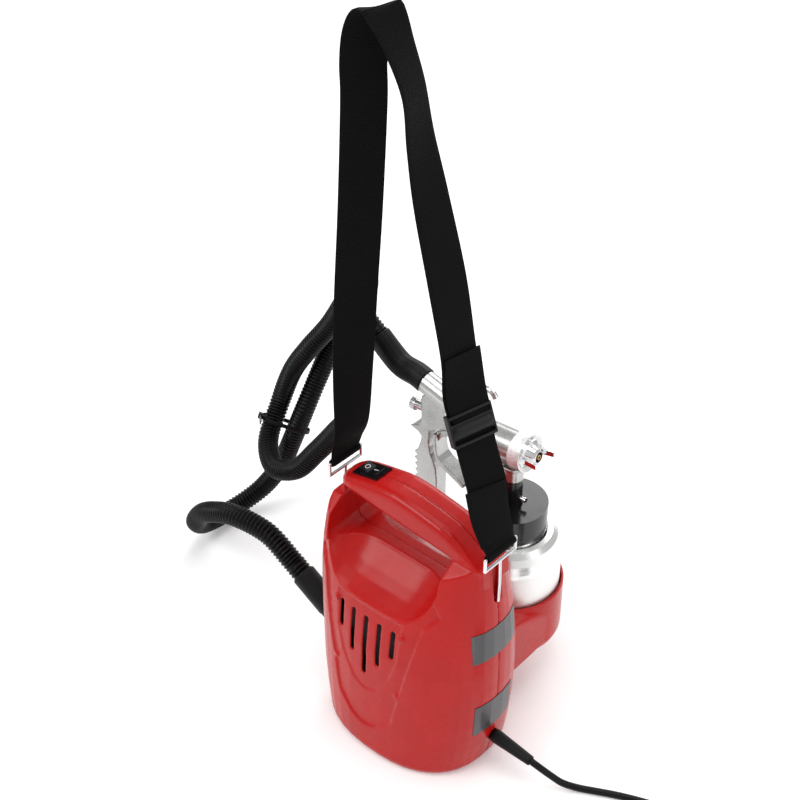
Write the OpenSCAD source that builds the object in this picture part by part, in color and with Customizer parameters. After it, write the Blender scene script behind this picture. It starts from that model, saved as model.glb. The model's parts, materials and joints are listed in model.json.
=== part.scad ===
// Portable turbine paint sprayer: a carry case with a motor and fan, an air hose, a spray
// gun with its paint can standing in a holder, a shoulder strap and a mains lead.
// Origin: middle of the case's base. +Z up, +X towards the end with the plates and the
// lead, -Y towards the flank with the air vents, +Y towards the gun holder.

/* [Case] */
// Length of the case at its widest level
case_l = 208; // [198:1:216]
// Width of the case at its widest level
case_w = 146; // [142:1:156]
// Height of the end posts
post_h = 266; // [262:1:272]
// Thickness of the moulded walls
wall = 2.8; // [2.2:0.1:3.2]
// Radius of the edge round the base
base_r = 8; // [4:1:10]
// Depth of the shield-shaped panel in the flank
panel_d = 2.4; // [1.6:0.1:2.8]
// Depth of the step round the vents
ledge_d = 1.2; // [0.6:0.1:1.6]
// Width of one air vent
vent_w = 4.5; // [3:0.5:7]
// Spacing of the air vents
vent_pitch = 17; // [14:0.5:19]

/* [Handle] */
// Width of the handle
handle_w = 44; // [38:1:48]
// Height of the handle's crown
handle_h = 300; // [297:1:306]
// Length of the finger opening
grip_l = 140; // [130:1:144]
// Height of the saddle under the handle
saddle_z = 225; // [218:1:230]

/* [Switch] */
// Length of the switch's bezel
switch_l = 32; // [28:1:34]
// Width of the switch's bezel
switch_w = 23; // [20:1:25]
// Rocker travel from off to on
rocker_swing = 14; // [8:1:18]

/* [Gun holder] */
// Bore of the holder
holder_bore = 113; // [111.5:0.5:116]
// Wall of the holder
holder_wall = 3; // [2:0.1:4]
// Height of the holder's rim
holder_rim = 115; // [105:1:125]
// Height of the holder's underside
holder_low = 46; // [40:1:50]
// Distance of the holder's axis from the middle of the case
holder_y = 131; // [129:1:136]
// Place of the holder's axis along the case
holder_x = 11.5; // [8:0.5:14]

/* [Paint can] */
// Diameter of the can
can_d = 110; // [104:1:110]
// Height of the can's straight wall
can_wall_h = 103; // [92:1:108]
// Height of the can's shoulder
shoulder_h = 30; // [26:1:34]
// Diameter of the lid
lid_d = 76; // [72:1:82]
// Height of the lid
lid_h = 30; // [26:1:36]
// Diameter of the riser on the lid
riser_d = 22; // [20:1:24]
// Height of the riser
riser_h = 31; // [26:1:36]

/* [Gun] */
// Diameter of the gun's barrel
barrel_d = 34; // [32:0.5:35]
// Upward tilt of the gun's axis
gun_tilt = 4.5; // [3:0.5:6]
// Diameter of the ring that holds the air cap
ring_d = 41.5; // [40.5:0.5:44]
// Diameter of the needle
needle_d = 3.2; // [2.4:0.1:3.6]
// Angle that the trigger swings through
trigger_swing = 6; // [3:0.5:6]
// Thickness of the grip
grip_t = 19; // [18.5:0.5:20]

/* [Hose and cords] */
// Outer diameter of the ribbed air hose
hose_d = 24; // [23:0.5:25]
// Bore of the air hose
hose_bore = 16; // [14:0.5:17]
// Number of ribs on the hose
hose_ribs = 132; // [100:1:140]
// Diameter of the mains lead
lead_d = 7.2; // [6:0.1:7.6]
// Radius of the coil's outer loop
coil_r = 51; // [49:1:54]
// Width of the strap's webbing
strap_w = 39; // [34:1:40]
// Thickness of the strap's webbing
strap_t = 2; // [1.6:0.1:2.4]

/* [Motor] */
// Clearance between the fan housing and the level of the case's flanks
fan_margin = 13; // [11:0.5:17]
// Clearance between the motor's stator and the level of the case's flanks
stator_margin = 33; // [32.5:0.5:37]
// Thickness of the stator's ring
stator_ring = 17.5; // [15:0.5:18]
// Air gap between armature and stator
air_gap = 0.5; // [0.4:0.1:0.8]
// Diameter of the motor shaft
shaft_d = 8; // [7:0.5:9]

/* [Hidden] */

// Clearances
fit = 0.05; // running fit, per side
seat = 0.1; // gap where a piece rests in its seat
$fn = 48;

// ---- case form ----------------------------------------------------------------------------
case_n = 2.4; // power of the superellipse in plan
rear_square = 1.4; // how much that power grows towards the top of the -X end
end_x = case_l / 2;
belt_z = 110; // level of the greatest length and width
brow_z = 235; // level that the upper taper is measured to
foot_in_l = 12; // how far the base draws in at each end
foot_out_w = 3; // how far the base spreads at each flank
brow_in_l = 7; // how far the ends draw in at the brow
brow_in_w = 19; // how far the flanks draw in at the brow
outer_n = 40;
inner_n = 32;
outer_levels = [0, 1, 3, base_r, 36, 72, belt_z, 140, 170, 198, 224, 246, post_h];
cavity_top = 181;
inner_levels = [wall, 24, 60, belt_z, 146, cavity_top];

function sq(v) = v * v;
function below(z) = max(0, (belt_z - z) / belt_z);
function above(z) = max(0, (z - belt_z) / (brow_z - belt_z));
function edge(z) = z < base_r ? base_r - sqrt(sq(base_r) - sq(base_r - z)) : 0;
function half_l(z) = case_l / 2 - foot_in_l * sq(below(z)) - brow_in_l * sq(above(z)) - edge(z);
function half_w(z) = case_w / 2 + foot_out_w * below(z) - brow_in_w * sq(above(z)) - edge(z);
function power(x, z) = x < 0 ? case_n + rear_square * sq(above(z)) : case_n;
function bow(v, k) = sign(v) * pow(abs(v), 2 / k);
function ring(z, n, dx, dy) = [
  for (i = [0 : n - 1])
    let (t = 360 * (i + 0.5) / n, k = power(cos(t), z))
      [bow(cos(t), k) * (half_l(z) - dx), bow(sin(t), k) * (half_w(z) - dy), z]
];
// Distance of the flank from the middle plane at x, z
function flank(x, z) =
  let (k = power(x, z)) half_w(z) * pow(1 - pow(abs(x) / half_l(z), k), 1 / k);

// A closed skin through rings of n points each
module skin(rings, n) {
  last = len(rings) - 1;
  bottom = [[for (i = [0 : n - 1]) i]];
  top = [[for (i = [n - 1 : -1 : 0]) last * n + i]];
  sides = [
    for (k = [0 : last - 1], i = [0 : n - 1])
      let (a = k * n + i, b = k * n + (i + 1) % n)
        each [[a, a + n, b + n], [a, b + n, b]]
  ];
  polyhedron(points = [for (r = rings) each r], faces = concat(bottom, top, sides));
}

module loft(levels, n, dx = 0, dy = 0) {
  skin([for (z = levels) ring(z, n, dx, dy)], n);
}

// Straight rod with true round surfaces between two points
module rod(p, q, r) {
  d = q - p;
  translate(p)
    rotate([0, acos(d[2] / norm(d)), atan2(d[1], d[0])])
      cylinder(h = norm(d), r = r);
}

// Bent wire with round elbows
module wire(points, r) {
  for (i = [0 : len(points) - 2]) rod(points[i], points[i + 1], r);
  for (i = [1 : len(points) - 2]) translate(points[i]) sphere(r + 0.05, $fn = 16);
}

module tube(od, id, h) {
  difference() {
    cylinder(h = h, d = od);
    translate([0, 0, -1]) cylinder(h = h + 2, d = id);
  }
}

// The same, centred on its length
module tube_middle(od, id, h) {
  translate([0, 0, -h / 2]) tube(od, id, h);
}

// Solid block along Y of an outline in the XZ plane, centred on the middle plane
module slab(points, w) {
  rotate([90, 0, 0]) linear_extrude(w, center = true) polygon(points);
}

// ---- handle, finger opening and scoops ----------------------------------------------------
grip_x = -10; // middle of the finger opening
grip_x0 = grip_x - grip_l / 2;
grip_x1 = grip_x + grip_l / 2;
handle_r = 9;
saddle_half = 12; // half width of the flat saddle
scoop_r = 42; // corner radius of the scoops
scoop_steps = 12;
scoop_fall = 1; // slope of the scoops at the edge of the saddle
scoop_bend = 0.0068; // and how fast they level out
handle_end = -end_x + 15; // rounded -X end of the handle
end_round = 18;
// Crown of the handle: place along the case, depth below the highest point
crown_line = [
  [-end_x + 50, 6], [-18, 0], [21, 4], [52, 11], [end_x - 16, 33]
];
crown_fall = 0.238; // slope of the straight stretch that carries the switch
// Underside of the handle below its crown's highest point
under_line = [[-end_x + 8, 26], [-end_x + 50, 28.5], [52, 34], [end_x - 16, 38]];
crown_steps = 3;

function crown_at(x) = crown_line[0][1] + crown_fall * (crown_line[0][0] - x);
function end_half(d) = d > end_round ? 0 : end_round - sqrt(sq(end_round) - sq(end_round - d));
// Handle sections: place along the case, depth of the crown, draw-in of both sides
handle_cuts = concat(
  [for (d = [0.2, 1.5, 4.5, 10, 20]) [handle_end + d, crown_at(handle_end + d) + 0.2 * end_half(d), end_half(d)]],
  [for (i = [0 : 4 * crown_steps]) let (c = curve_at(crown_line, i / crown_steps)) [c[0], c[1], 0]]
);

module handle_form(inset) {
  hull()
    for (c = handle_cuts)
      let (low = handle_h - lookup(c[0], under_line) + inset, top = handle_h - c[1] - inset)
        let (w = handle_w - 2 * inset - 2 * c[2], r = min(handle_r - inset, (top - low) / 2 - 0.2, w / 2 - 0.2))
          for (y = [-1, 1], z = [low + r, top - r])
            translate([c[0] + sign(grip_x - c[0]) * inset, y * (w / 2 - r), z])
              rotate([0, 90, 0]) cylinder(h = 0.5, r = r, center = true, $fn = 24);
}

// U-shaped outline, open upwards, of one section of a scoop
function scoop_line(low) = concat(
  [[grip_x0, post_h + 80], [grip_x0, low + scoop_r]],
  [for (i = [1 : scoop_steps - 1]) let (t = 180 + 90 * i / scoop_steps)
    [grip_x0 + scoop_r + scoop_r * cos(t), low + scoop_r + scoop_r * sin(t)]],
  [[grip_x0 + scoop_r, low], [grip_x1 - scoop_r, low]],
  [for (i = [1 : scoop_steps - 1]) let (t = 270 + 90 * i / scoop_steps)
    [grip_x1 - scoop_r + scoop_r * cos(t), low + scoop_r + scoop_r * sin(t)]],
  [[grip_x1, low + scoop_r], [grip_x1, post_h + 80]]
);

module scoop(side) {
  hull()
    for (d = [0, 9, 19, 30, 42, 56, 72])
      translate([0, side * (saddle_half + d), 0])
        rotate([90, 0, 0])
          linear_extrude(0.1, center = true)
            polygon(scoop_line(saddle_z - 1 - scoop_fall * d + scoop_bend * sq(d)));
}

// Opening for the fingers, right through between saddle and handle
module finger_window() {
  corner = 12;
  top = post_h + 20;
  difference() {
    translate([grip_x0, -case_w, saddle_z]) cube([grip_l, 2 * case_w, top - saddle_z]);
    for (s = [0, 1])
      translate([s == 0 ? grip_x0 : grip_x1, 0, saddle_z])
        mirror([s, 0, 0])
          rotate([90, 0, 0])
            linear_extrude(4 * case_w, center = true)
              difference() {
                translate([-1, -1]) square(corner + 1);
                translate([corner, corner]) circle(corner);
              }
  }
}

// Sloping eaves that chamfer the tops of the end posts along both flanks
module eaves(side) {
  half = handle_w / 2;
  drop = 0.69;
  rotate([90, 0, 90])
    linear_extrude(case_l + 20, center = true)
      polygon([
        [side * half, post_h], [side * (half + 60), post_h - drop * 60],
        [side * (half + 60), post_h + 20], [side * half, post_h + 20]
      ]);
}

// Blocks that carry the ends of the handle on the posts
module handle_roots() {
  side = handle_w / 2 - 2;
  translate([0, 0, post_h - 30])
    linear_extrude(handle_h - crown_at(handle_end) - 6 - post_h + 30)
      intersection() {
        hull() for (y = [-1, 1]) translate([handle_end + end_round, y * (side - 12)]) scale([1.5, 1]) circle(12);
        translate([-case_l, -side]) square([case_l + grip_x0 - 1, 2 * side]);
      }
  slab([
    [grip_x1 + 2, post_h - 20], [grip_x1 + 2, handle_h - 31], [end_x - 11, handle_h - 34],
    [end_x - 9, post_h - 20]
  ], handle_w - 4);
}

// ---- panel, ledge and vents of the flank --------------------------------------------------
panel_half = [
  [70, 226], [78, 213], [64, 196], [56, 154], [44, 97], [36, 59], [16, 41], [6, 37]
];
ledge_half = [[42, 190], [40, 142], [30, 112], [15, 90], [5, 85]];
vent_top = 177;
vent_low = 103;
vent_step = 20; // how much shorter each vent is than its inner neighbour

module flank_prism(half) {
  outline = concat(half, [for (i = [len(half) - 1 : -1 : 0]) [-half[i][0], half[i][1]]]);
  translate([grip_x, -case_w / 2, 0])
    rotate([90, 0, 0]) linear_extrude(case_w / 2 + 8, center = true) polygon(outline);
}

module panel_cut() {
  difference() {
    flank_prism(panel_half);
    loft(outer_levels, outer_n, panel_d, panel_d);
  }
  difference() {
    flank_prism(ledge_half);
    loft(outer_levels, outer_n, panel_d, panel_d + ledge_d);
  }
}

module vents() {
  for (i = [-2 : 2]) {
    low = vent_low + vent_step * abs(i) + vent_w / 2;
    high = vent_top - vent_w / 2;
    translate([grip_x - 2 + i * vent_pitch, -case_w / 2, 0])
      rotate([90, 0, 0])
        linear_extrude(case_w / 2, center = true) {
          translate([-vent_w / 2, low]) square([vent_w, high - low]);
          translate([0, low]) circle(d = vent_w);
          translate([0, high]) circle(d = vent_w);
        }
  }
}

// ---- fixings of the two shells ------------------------------------------------------------
screw_d = 4;
screw_head = 7.6;
screw_seat = 12; // depth of material under each screw head
screw_reach = 14; // length of thread in the vent side shell
// Places of the screws in the XZ plane
screw_at = [
  [-end_x + 24, 36], [-end_x + 17, 150], [end_x - 20, 72], [end_x - 20, 160], [-52, 14], [56, 14],
  [-end_x + 19.5, 199], [grip_x1 + 20, 232]
];
boss_d = 12;

module bosses(side) {
  for (p = screw_at)
    rotate([90, 0, 0])
      translate([p[0], p[1], side > 0 ? -flank(p[0], p[1]) + 1.5 : 0])
        cylinder(h = flank(p[0], p[1]) - 1.5, d = boss_d);
}

module screw_holes(side) {
  for (p = screw_at)
    rotate([90, 0, 0])
      translate([p[0], p[1], 0])
        if (side > 0) {
          translate([0, 0, -screw_seat - 1]) cylinder(h = screw_seat + 2, d = screw_d + 0.2);
          translate([0, 0, -case_w]) cylinder(h = case_w - screw_seat, d = screw_head + 0.8);
        } else {
          translate([0, 0, -1]) cylinder(h = screw_reach + 1.5, d = screw_d + 0.02);
        }
}

module shell_screws() {
  color("gray")
    for (p = screw_at)
      rotate([90, 0, 0])
        translate([p[0], p[1], 0]) {
          translate([0, 0, -screw_seat - 0.02]) cylinder(h = screw_seat + screw_reach, d = screw_d);
          difference() {
            translate([0, 0, -screw_seat - 2.6]) cylinder(h = 2.58, d = screw_head);
            translate([0, 0, -screw_seat - 3]) cylinder(h = 1.6, d = 3, $fn = 6);
          }
        }
}

// ---- hook slots, plates, outlet and lead inlet --------------------------------------------
slot_w = 9;
slot_low = post_h - 45;
slot_high = post_h - 3;
slot_depth = 9.5;

module hook_slot(end) {
  low = slot_low + slot_w / 2;
  high = slot_high - slot_w / 2;
  translate([end * (half_l(slot_low) - slot_depth), 0, 0])
    rotate([90, 0, end * 90])
      linear_extrude(slot_depth + 20) {
        translate([-slot_w / 2, low]) square([slot_w, high - low]);
        translate([0, low]) circle(d = slot_w);
        translate([0, high]) circle(d = slot_w);
      }
}

plate_t = 0.6;
module end_plate(y0, y1, z0, z1) {
  intersection() {
    translate([case_l / 2 - 30, y0, z0]) cube([50, y1 - y0, z1 - z0]);
    difference() {
      loft(outer_levels, outer_n, -plate_t, -plate_t);
      loft(outer_levels, outer_n, -fit, -fit);
    }
  }
}

module upper_plate() {
  color([0.36, 0.36, 0.37]) end_plate(-32, 30, 158, 194);
}

module lower_plate() {
  color([0.36, 0.36, 0.37]) end_plate(-29, 25, 57, 98);
}

// Outlet axis: through the case's -X end, rising outwards
outlet_at = [-end_x + 1, -10, 79];
outlet_tilt = 60; // from the vertical
outlet_r = 10.5; // outer radius of the spigot
outlet_bore = 8.5;
outlet_boss_r = 16;
spigot_out = 28; // length of the spigot outside the case
cuff_len = 58;
cuff_r = hose_d / 2 + 1.3;
cuff_face = -end_x - 0.4; // where the cuff is cut off to lie against the case's end
outlet_dir = [-sin(outlet_tilt), 0, cos(outlet_tilt)];

module at_outlet() {
  translate(outlet_at) rotate([0, -outlet_tilt, 0]) children();
}

// Mains lead inlet in the +X end
inlet_at = [end_x - 7, 3, 35];
inlet_r = 6.2;
inlet_boss_r = 11;

module at_inlet() {
  translate(inlet_at) rotate([0, 90, 0]) children();
}

// ---- case shells --------------------------------------------------------------------------
holder_r = holder_bore / 2 + holder_wall;
web_x0 = -48; // far edge of the web on the flank
web_y = 56;
web_low = 52;
web_top = 120;
web_at_cup = 90; // level where the web's top meets the holder

module at_holder() {
  translate([holder_x, holder_y, 0]) children();
}

module holder_outer() {
  edge_r = 8;
  at_holder() {
    translate([0, 0, holder_low + edge_r])
      cylinder(h = holder_rim - holder_low - edge_r, r = holder_r);
    translate([0, 0, holder_low + 2])
      cylinder(h = edge_r - 2, r1 = holder_r - 2, r2 = holder_r);
    translate([0, 0, holder_low]) cylinder(h = 2, r1 = holder_r - edge_r, r2 = holder_r - 2);
  }
  hull() {
    at_holder()
      translate([0, 0, holder_low + edge_r])
        cylinder(h = web_at_cup - holder_low - edge_r, r = holder_r - 0.5, $fn = 32);
    translate([web_x0, web_y, web_low]) cube([holder_x + holder_r - web_x0, 8, web_top - web_low]);
  }
}

module holder_bore_cut() {
  at_holder() translate([0, 0, holder_low + holder_wall]) cylinder(h = 200, d = holder_bore);
}

post_l = [grip_x0 - 8.2, grip_x0 - 3]; // wiring channel in the rear post, behind the hook slot
channel_x = -end_x + 8; // and below it, nearer the end
channel_bend = [212, 220]; // levels between which it changes over
post_r = [grip_x1 + 6, grip_x1 + 22]; // hollow of the front post

module case_hollows() {
  loft(inner_levels, inner_n, wall, wall + panel_d + ledge_d);
  handle_form(wall);
  for (c = [[post_l[0], channel_bend[0], handle_h - 22], [channel_x, cavity_top - 3, channel_bend[1]]])
    translate([c[0], -handle_w / 4, c[1]])
      cube([post_l[1] - post_l[0], handle_w / 2, c[2] - c[1]]);
  translate([channel_x, -handle_w / 4, channel_bend[0]])
    cube([post_l[1] - channel_x, handle_w / 2, channel_bend[1] - channel_bend[0]]);
  translate([post_r[0], -handle_w / 2 + wall, cavity_top - 3])
    cube([post_r[1] - post_r[0], handle_w - 2 * wall, post_h - 14 - cavity_top]);
  rotate([90, 0, 90])
    translate([0, 0, grip_x0 + 6])
      linear_extrude(grip_l - 12)
        polygon([
          [-50, cavity_top - 3], [-38, saddle_z - 34], [-saddle_half + 3, saddle_z - wall - 1],
          [saddle_half - 3, saddle_z - wall - 1], [38, saddle_z - 34], [50, cavity_top - 3]
        ]);
}

module case_solid(side) {
  difference() {
    loft(outer_levels, outer_n);
    scoop(side);
    finger_window();
    eaves(side);
  }
  handle_form(0);
  handle_roots();
  if (side > 0) holder_outer();
}

module half_space(side) {
  translate([-400, side > 0 ? 0 : -800, -100]) cube([800, 800, 600]);
}

module case_shell(side) {
  difference() {
    union() {
      difference() {
        case_solid(side);
        case_hollows();
        if (side < 0) panel_cut();
      }
      intersection() {
        loft(outer_levels, outer_n);
        union() {
          bosses(side);
          at_outlet() translate([0, 0, -14]) cylinder(h = 30, r = outlet_boss_r);
          at_inlet() translate([0, 0, -16]) cylinder(h = 30, r = inlet_boss_r);
          if (side < 0) filter_posts();
        }
      }
    }
    half_space(-side);
    if (side < 0) vents();
    if (side > 0) holder_bore_cut();
    screw_holes(side);
    hook_slot(1);
    hook_slot(-1);
    at_outlet() translate([0, 0, -60]) cylinder(h = 100, r = outlet_r + seat);
    at_inlet() translate([0, 0, -30]) cylinder(h = 60, r = inlet_r + seat);
    switch_opening();
  }
}

module vent_side_shell() {
  color([0.78, 0.07, 0.06]) case_shell(-1);
}

module holder_side_shell() {
  color([0.78, 0.07, 0.06]) case_shell(1);
}

// ---- switch -------------------------------------------------------------------------------
switch_x = -end_x + 44;
switch_z = handle_h - crown_at(switch_x); // crown under the middle of the switch
switch_lean = atan(crown_fall);
bezel_t = 2;
switch_body_l = switch_l - 5;
switch_body_w = switch_w - 6;
switch_body_h = 11;
rocker_r = 1.5;
rocker_drop = 2.5; // depth of the rocker's axis below the bezel's face

module at_switch() {
  translate([switch_x, 0, switch_z]) rotate([0, -switch_lean, 0]) children();
}

module switch_block(l, w, z0, z1) {
  translate([-l / 2, -w / 2, z0]) cube([l, w, z1 - z0]);
}

module switch_opening() {
  at_switch()
    switch_block(switch_body_l + 2 * seat, switch_body_w + 2 * seat, -20, 20);
}

module switch_housing() {
  color([0.05, 0.05, 0.05])
    at_switch()
      difference() {
        union() {
          switch_block(switch_l, switch_w, seat, bezel_t);
          switch_block(switch_body_l, switch_body_w, -switch_body_h, bezel_t);
          for (x = [-8, 0, 8])
            translate([x - 2.4, -0.4, -switch_body_h - 4]) cube([4.8, 0.8, 4.2]);
        }
        switch_block(switch_body_l - 3, switch_body_w - 3, -7, bezel_t + 1);
        translate([0, 0, bezel_t - rocker_drop])
          rotate([90, 0, 0]) cylinder(h = switch_body_w - 1, r = rocker_r + fit, center = true);
      }
}

// Rocker at rest with its +X side pressed
module rocker() {
  l = switch_body_l / 2 - 2.4;
  w = switch_body_w - 3.8;
  color([0.06, 0.06, 0.06])
    at_switch()
      translate([0, 0, bezel_t - rocker_drop])
        rotate([0, rocker_swing / 2, 0]) {
          slab([[-l, 1.2], [-l, 4.6], [-l + 1, 5.2], [0, 3.4], [l - 1, 5.2], [l, 4.6], [l, 1.2],
            [3, -2.6], [-3, -2.6]], w);
          rotate([90, 0, 0]) cylinder(h = switch_body_w - 1.4, r = rocker_r, center = true);
        }
}

lead_z = handle_h - 22.4; // level of the leads inside the handle
module switch_leads() {
  color([0.15, 0.15, 0.5])
    for (y = [-3, 3])
      wire([
        [switch_x - 9, y, lead_z], [post_l[1] - 2.6, y, lead_z], [post_l[1] - 2.6, y, channel_bend[0] + 5],
        [channel_x + 2.6, y, channel_bend[0] + 2], [channel_x + 2.6, y, cavity_top - 5]
      ], 1.2);
}

// ---- motor and fan ------------------------------------------------------------------------
motor_x = 10; // motor axis, upright on the middle plane
fan_d = case_w - 2 * fan_margin;
stator_d = case_w - 2 * stator_margin;
armature_d = stator_d - 2 * stator_ring - 2 * air_gap;
fan_low = 22;
fan_wall = 2;
fan_top = 70;
stage_h = 12; // height of one impeller
stage_1 = 30; // underside of the first impeller
stage_2 = 52; // and of the second
impeller_r = fan_d / 2 - 6;
// Way along the outlet's axis from the case's end to the fan housing
fan_reach = (motor_x - fan_d / 2 - outlet_at[0]) / sin(outlet_tilt);
spigot_in = fan_reach - 11; // length of the spigot inside the case
core_low = 92;
core_top = 128;
bearing_d = 22;
bearing_h = 7;
low_bearing = fan_top + 6;
top_bearing = 149;
frame_r = stator_d / 2 + 3;

module at_motor(z = 0) {
  translate([motor_x, 0, z]) children();
}

module fan_housing() {
  color([0.2, 0.2, 0.21])
    difference() {
      union() {
        at_motor(fan_low) cylinder(h = fan_top - fan_wall - fan_low, d = fan_d);
        at_outlet() translate([0, 0, -fan_reach - 1]) cylinder(h = 20, r = outlet_r + 3);
      }
      at_motor(fan_low + fan_wall)
        cylinder(h = fan_top, d = fan_d - 2 * fan_wall);
      at_motor(fan_low - 1) cylinder(h = 10, r = 20);
      at_outlet() translate([0, 0, -spigot_in]) cylinder(h = 40, r = outlet_r + seat);
      at_outlet() translate([0, 0, -fan_reach - 9]) cylinder(h = 30, r = outlet_bore);
    }
}

module fan_cover() {
  color([0.62, 0.63, 0.65])
    at_motor(fan_top - fan_wall)
      difference() {
        cylinder(h = fan_wall, d = fan_d);
        translate([0, 0, -1]) cylinder(h = fan_wall + 2, r = 13);
      }
}

module return_vanes() {
  h = stage_2 - stage_1 - stage_h - 2;
  color([0.3, 0.3, 0.31])
    at_motor(stage_1 + stage_h + 1) {
      tube(fan_d - 2 * fan_wall - 2 * seat, 40, 1.5);
      for (i = [0 : 8])
        rotate(i * 40) translate([24, -0.75, 1.4]) rotate(25) cube([26, 1.5, h - 1.4]);
    }
}

module impeller() {
  cylinder(h = 1.2, r = impeller_r);
  translate([0, 0, stage_h - 1.2]) tube(2 * impeller_r, 44, 1.2);
  for (i = [0 : 7])
    rotate(i * 45) translate([23, -0.6, 1]) rotate(35) cube([24, 1.2, stage_h - 2]);
  cylinder(h = stage_h - 2, r = 9);
}

module impellers() {
  color([0.75, 0.76, 0.78])
    for (z = [stage_1, stage_2])
      at_motor(z)
        difference() {
          impeller();
          translate([0, 0, -1]) cylinder(h = stage_h + 2, d = shaft_d);
        }
}

module motor_shaft() {
  color([0.7, 0.7, 0.72])
    at_motor(stage_1 - 2) cylinder(h = top_bearing + bearing_h + 1 - stage_1, d = shaft_d);
}

module bearings() {
  color([0.6, 0.6, 0.62])
    for (z = [low_bearing, top_bearing])
      at_motor(z) tube(bearing_d, shaft_d + 2 * fit, bearing_h);
}

module armature_core() {
  color([0.45, 0.36, 0.3])
    at_motor() {
      difference() {
        union() {
          translate([0, 0, core_low]) cylinder(h = core_top - core_low, d = armature_d);
          translate([0, 0, core_low - 5]) cylinder(h = core_top - core_low + 10, d = armature_d - 8);
        }
        translate([0, 0, core_low - 10]) cylinder(h = 80, d = shaft_d);
      }
    }
}

module commutator() {
  color([0.72, 0.42, 0.2])
    at_motor(core_top + 8) tube(22, shaft_d, top_bearing - core_top - 10);
}

module stator_core() {
  color([0.4, 0.4, 0.42])
    at_motor(core_low) tube(stator_d, armature_d + 2 * air_gap, core_top - core_low);
}

module field_coils() {
  color([0.7, 0.38, 0.18])
    for (z = [core_low - 7, core_top])
      at_motor(z) tube(stator_d - 12, armature_d + 8, 7);
}

module lower_end_frame() {
  color([0.62, 0.63, 0.65])
    at_motor(fan_top) {
      difference() {
        union() {
          cylinder(h = 3, r = frame_r);
          tube(2 * frame_r, 2 * frame_r - 6, core_low - fan_top);
          cylinder(h = low_bearing - fan_top + bearing_h, d = bearing_d + 6);
        }
        translate([0, 0, low_bearing - fan_top]) cylinder(h = 20, d = bearing_d);
        translate([0, 0, -1]) cylinder(h = 30, d = shaft_d + 3);
        for (i = [0 : 3])
          rotate(45 + 90 * i) translate([0, -9, 8]) cube([frame_r + 2, 18, 10]);
      }
    }
}

module upper_end_frame() {
  top = top_bearing + bearing_h;
  color([0.62, 0.63, 0.65])
    at_motor() {
      difference() {
        union() {
          translate([0, 0, core_top]) tube(2 * frame_r, 2 * frame_r - 6, 10);
          translate([0, 0, core_top + 9.9])
            cylinder(h = top - core_top - 12, r1 = frame_r, r2 = 20);
          translate([0, 0, top - 4]) cylinder(h = 4, d = bearing_d + 6);
        }
        translate([0, 0, core_top + 9.8])
          cylinder(h = top - core_top - 14, r1 = frame_r - 3, r2 = 17);
        translate([0, 0, top_bearing]) cylinder(h = bearing_h + 1, d = bearing_d);
        translate([0, 0, core_top + 5]) cylinder(h = 30, d = shaft_d + 3);
        translate([-60, -7.6, core_top + 8]) cube([120, 15.2, 11]);
      }
    }
}

brush_w = 7;
module brush_holders() {
  color([0.75, 0.6, 0.25])
    at_motor(core_top + 9)
      for (s = [-1, 1])
        difference() {
          translate([s > 0 ? 13 : -frame_r, -7.4, 0]) cube([frame_r - 13, 14.8, 9.8]);
          translate([s > 0 ? 12 : -frame_r + 3, -brush_w / 2, 1.4]) cube([frame_r - 15, brush_w, brush_w]);
        }
}

module carbon_brushes() {
  color([0.12, 0.12, 0.12])
    at_motor(core_top + 9)
      for (s = [-1, 1])
        translate([s > 0 ? 11.2 : -31.2, -brush_w / 2 + fit, 1.4 + fit])
          cube([20, brush_w - 2 * fit, brush_w - 2 * fit]);
}

module motor_screws() {
  color([0.5, 0.5, 0.52])
    for (a = [0, 90, 180, 270])
      at_motor(fan_top + 3)
        rotate(a) translate([frame_r - 7, 0, 0]) cylinder(h = 2.4, d = 7, $fn = 6);
}

module motor_mounts() {
  color([0.1, 0.1, 0.1])
    for (a = [60, 180, 300])
      at_motor(wall + seat)
        rotate(a) translate([fan_d / 2 - 16, 0, 0]) cylinder(h = fan_low - wall - 2 * seat, r = 8);
}

// ---- intake filter ------------------------------------------------------------------------
filter_w = 90;
filter_h = 80;
filter_t = 8;
filter_low = 98;
filter_y = 19.4 - case_w / 2; // outer face of the frame
frame_t = 2;

module filter_posts() {
  for (x = [-1, 1], z = [filter_low + 2, filter_low + filter_h - 2])
    translate([grip_x + x * (filter_w / 2 - 2), filter_y, z])
      rotate([90, 0, 0]) cylinder(h = 30, d = 7);
}

module filter_frame() {
  color([0.1, 0.1, 0.1])
    translate([grip_x - filter_w / 2 - frame_t, filter_y + seat, filter_low - frame_t])
      difference() {
        cube([filter_w + 2 * frame_t, filter_t + 2, filter_h + 2 * frame_t]);
        translate([frame_t, 2, frame_t]) cube([filter_w, filter_t + 2, filter_h]);
        translate([frame_t + 5, -1, frame_t + 5]) cube([filter_w - 10, 8, filter_h - 10]);
      }
}

module filter_foam() {
  color([0.2, 0.2, 0.22])
    translate([grip_x - filter_w / 2 + seat, filter_y + 2 + 2 * seat, filter_low + seat])
      cube([filter_w - 2 * seat, filter_t, filter_h - 2 * seat]);
}

// ---- hose ends ----------------------------------------------------------------------------
module outlet_spigot() {
  color([0.1, 0.1, 0.1])
    at_outlet() translate([0, 0, -spigot_in + seat]) tube(2 * outlet_r, 2 * outlet_bore, spigot_in + spigot_out);
}

module case_cuff() {
  color([0.04, 0.04, 0.04])
    at_outlet()
      difference() {
        union() {
          translate([0, 0, -8]) cylinder(h = 26, r = outlet_r + 2);
          translate([0, 0, 14]) cylinder(h = cuff_len - 14, r = cuff_r);
        }
        translate([0, 0, -10]) cylinder(h = spigot_out + 11, r = outlet_r);
        cylinder(h = cuff_len + 2, r = outlet_bore);
        rotate([0, outlet_tilt, 0]) translate([cuff_face - outlet_at[0], -50, -50]) cube(100);
      }
}

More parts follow.
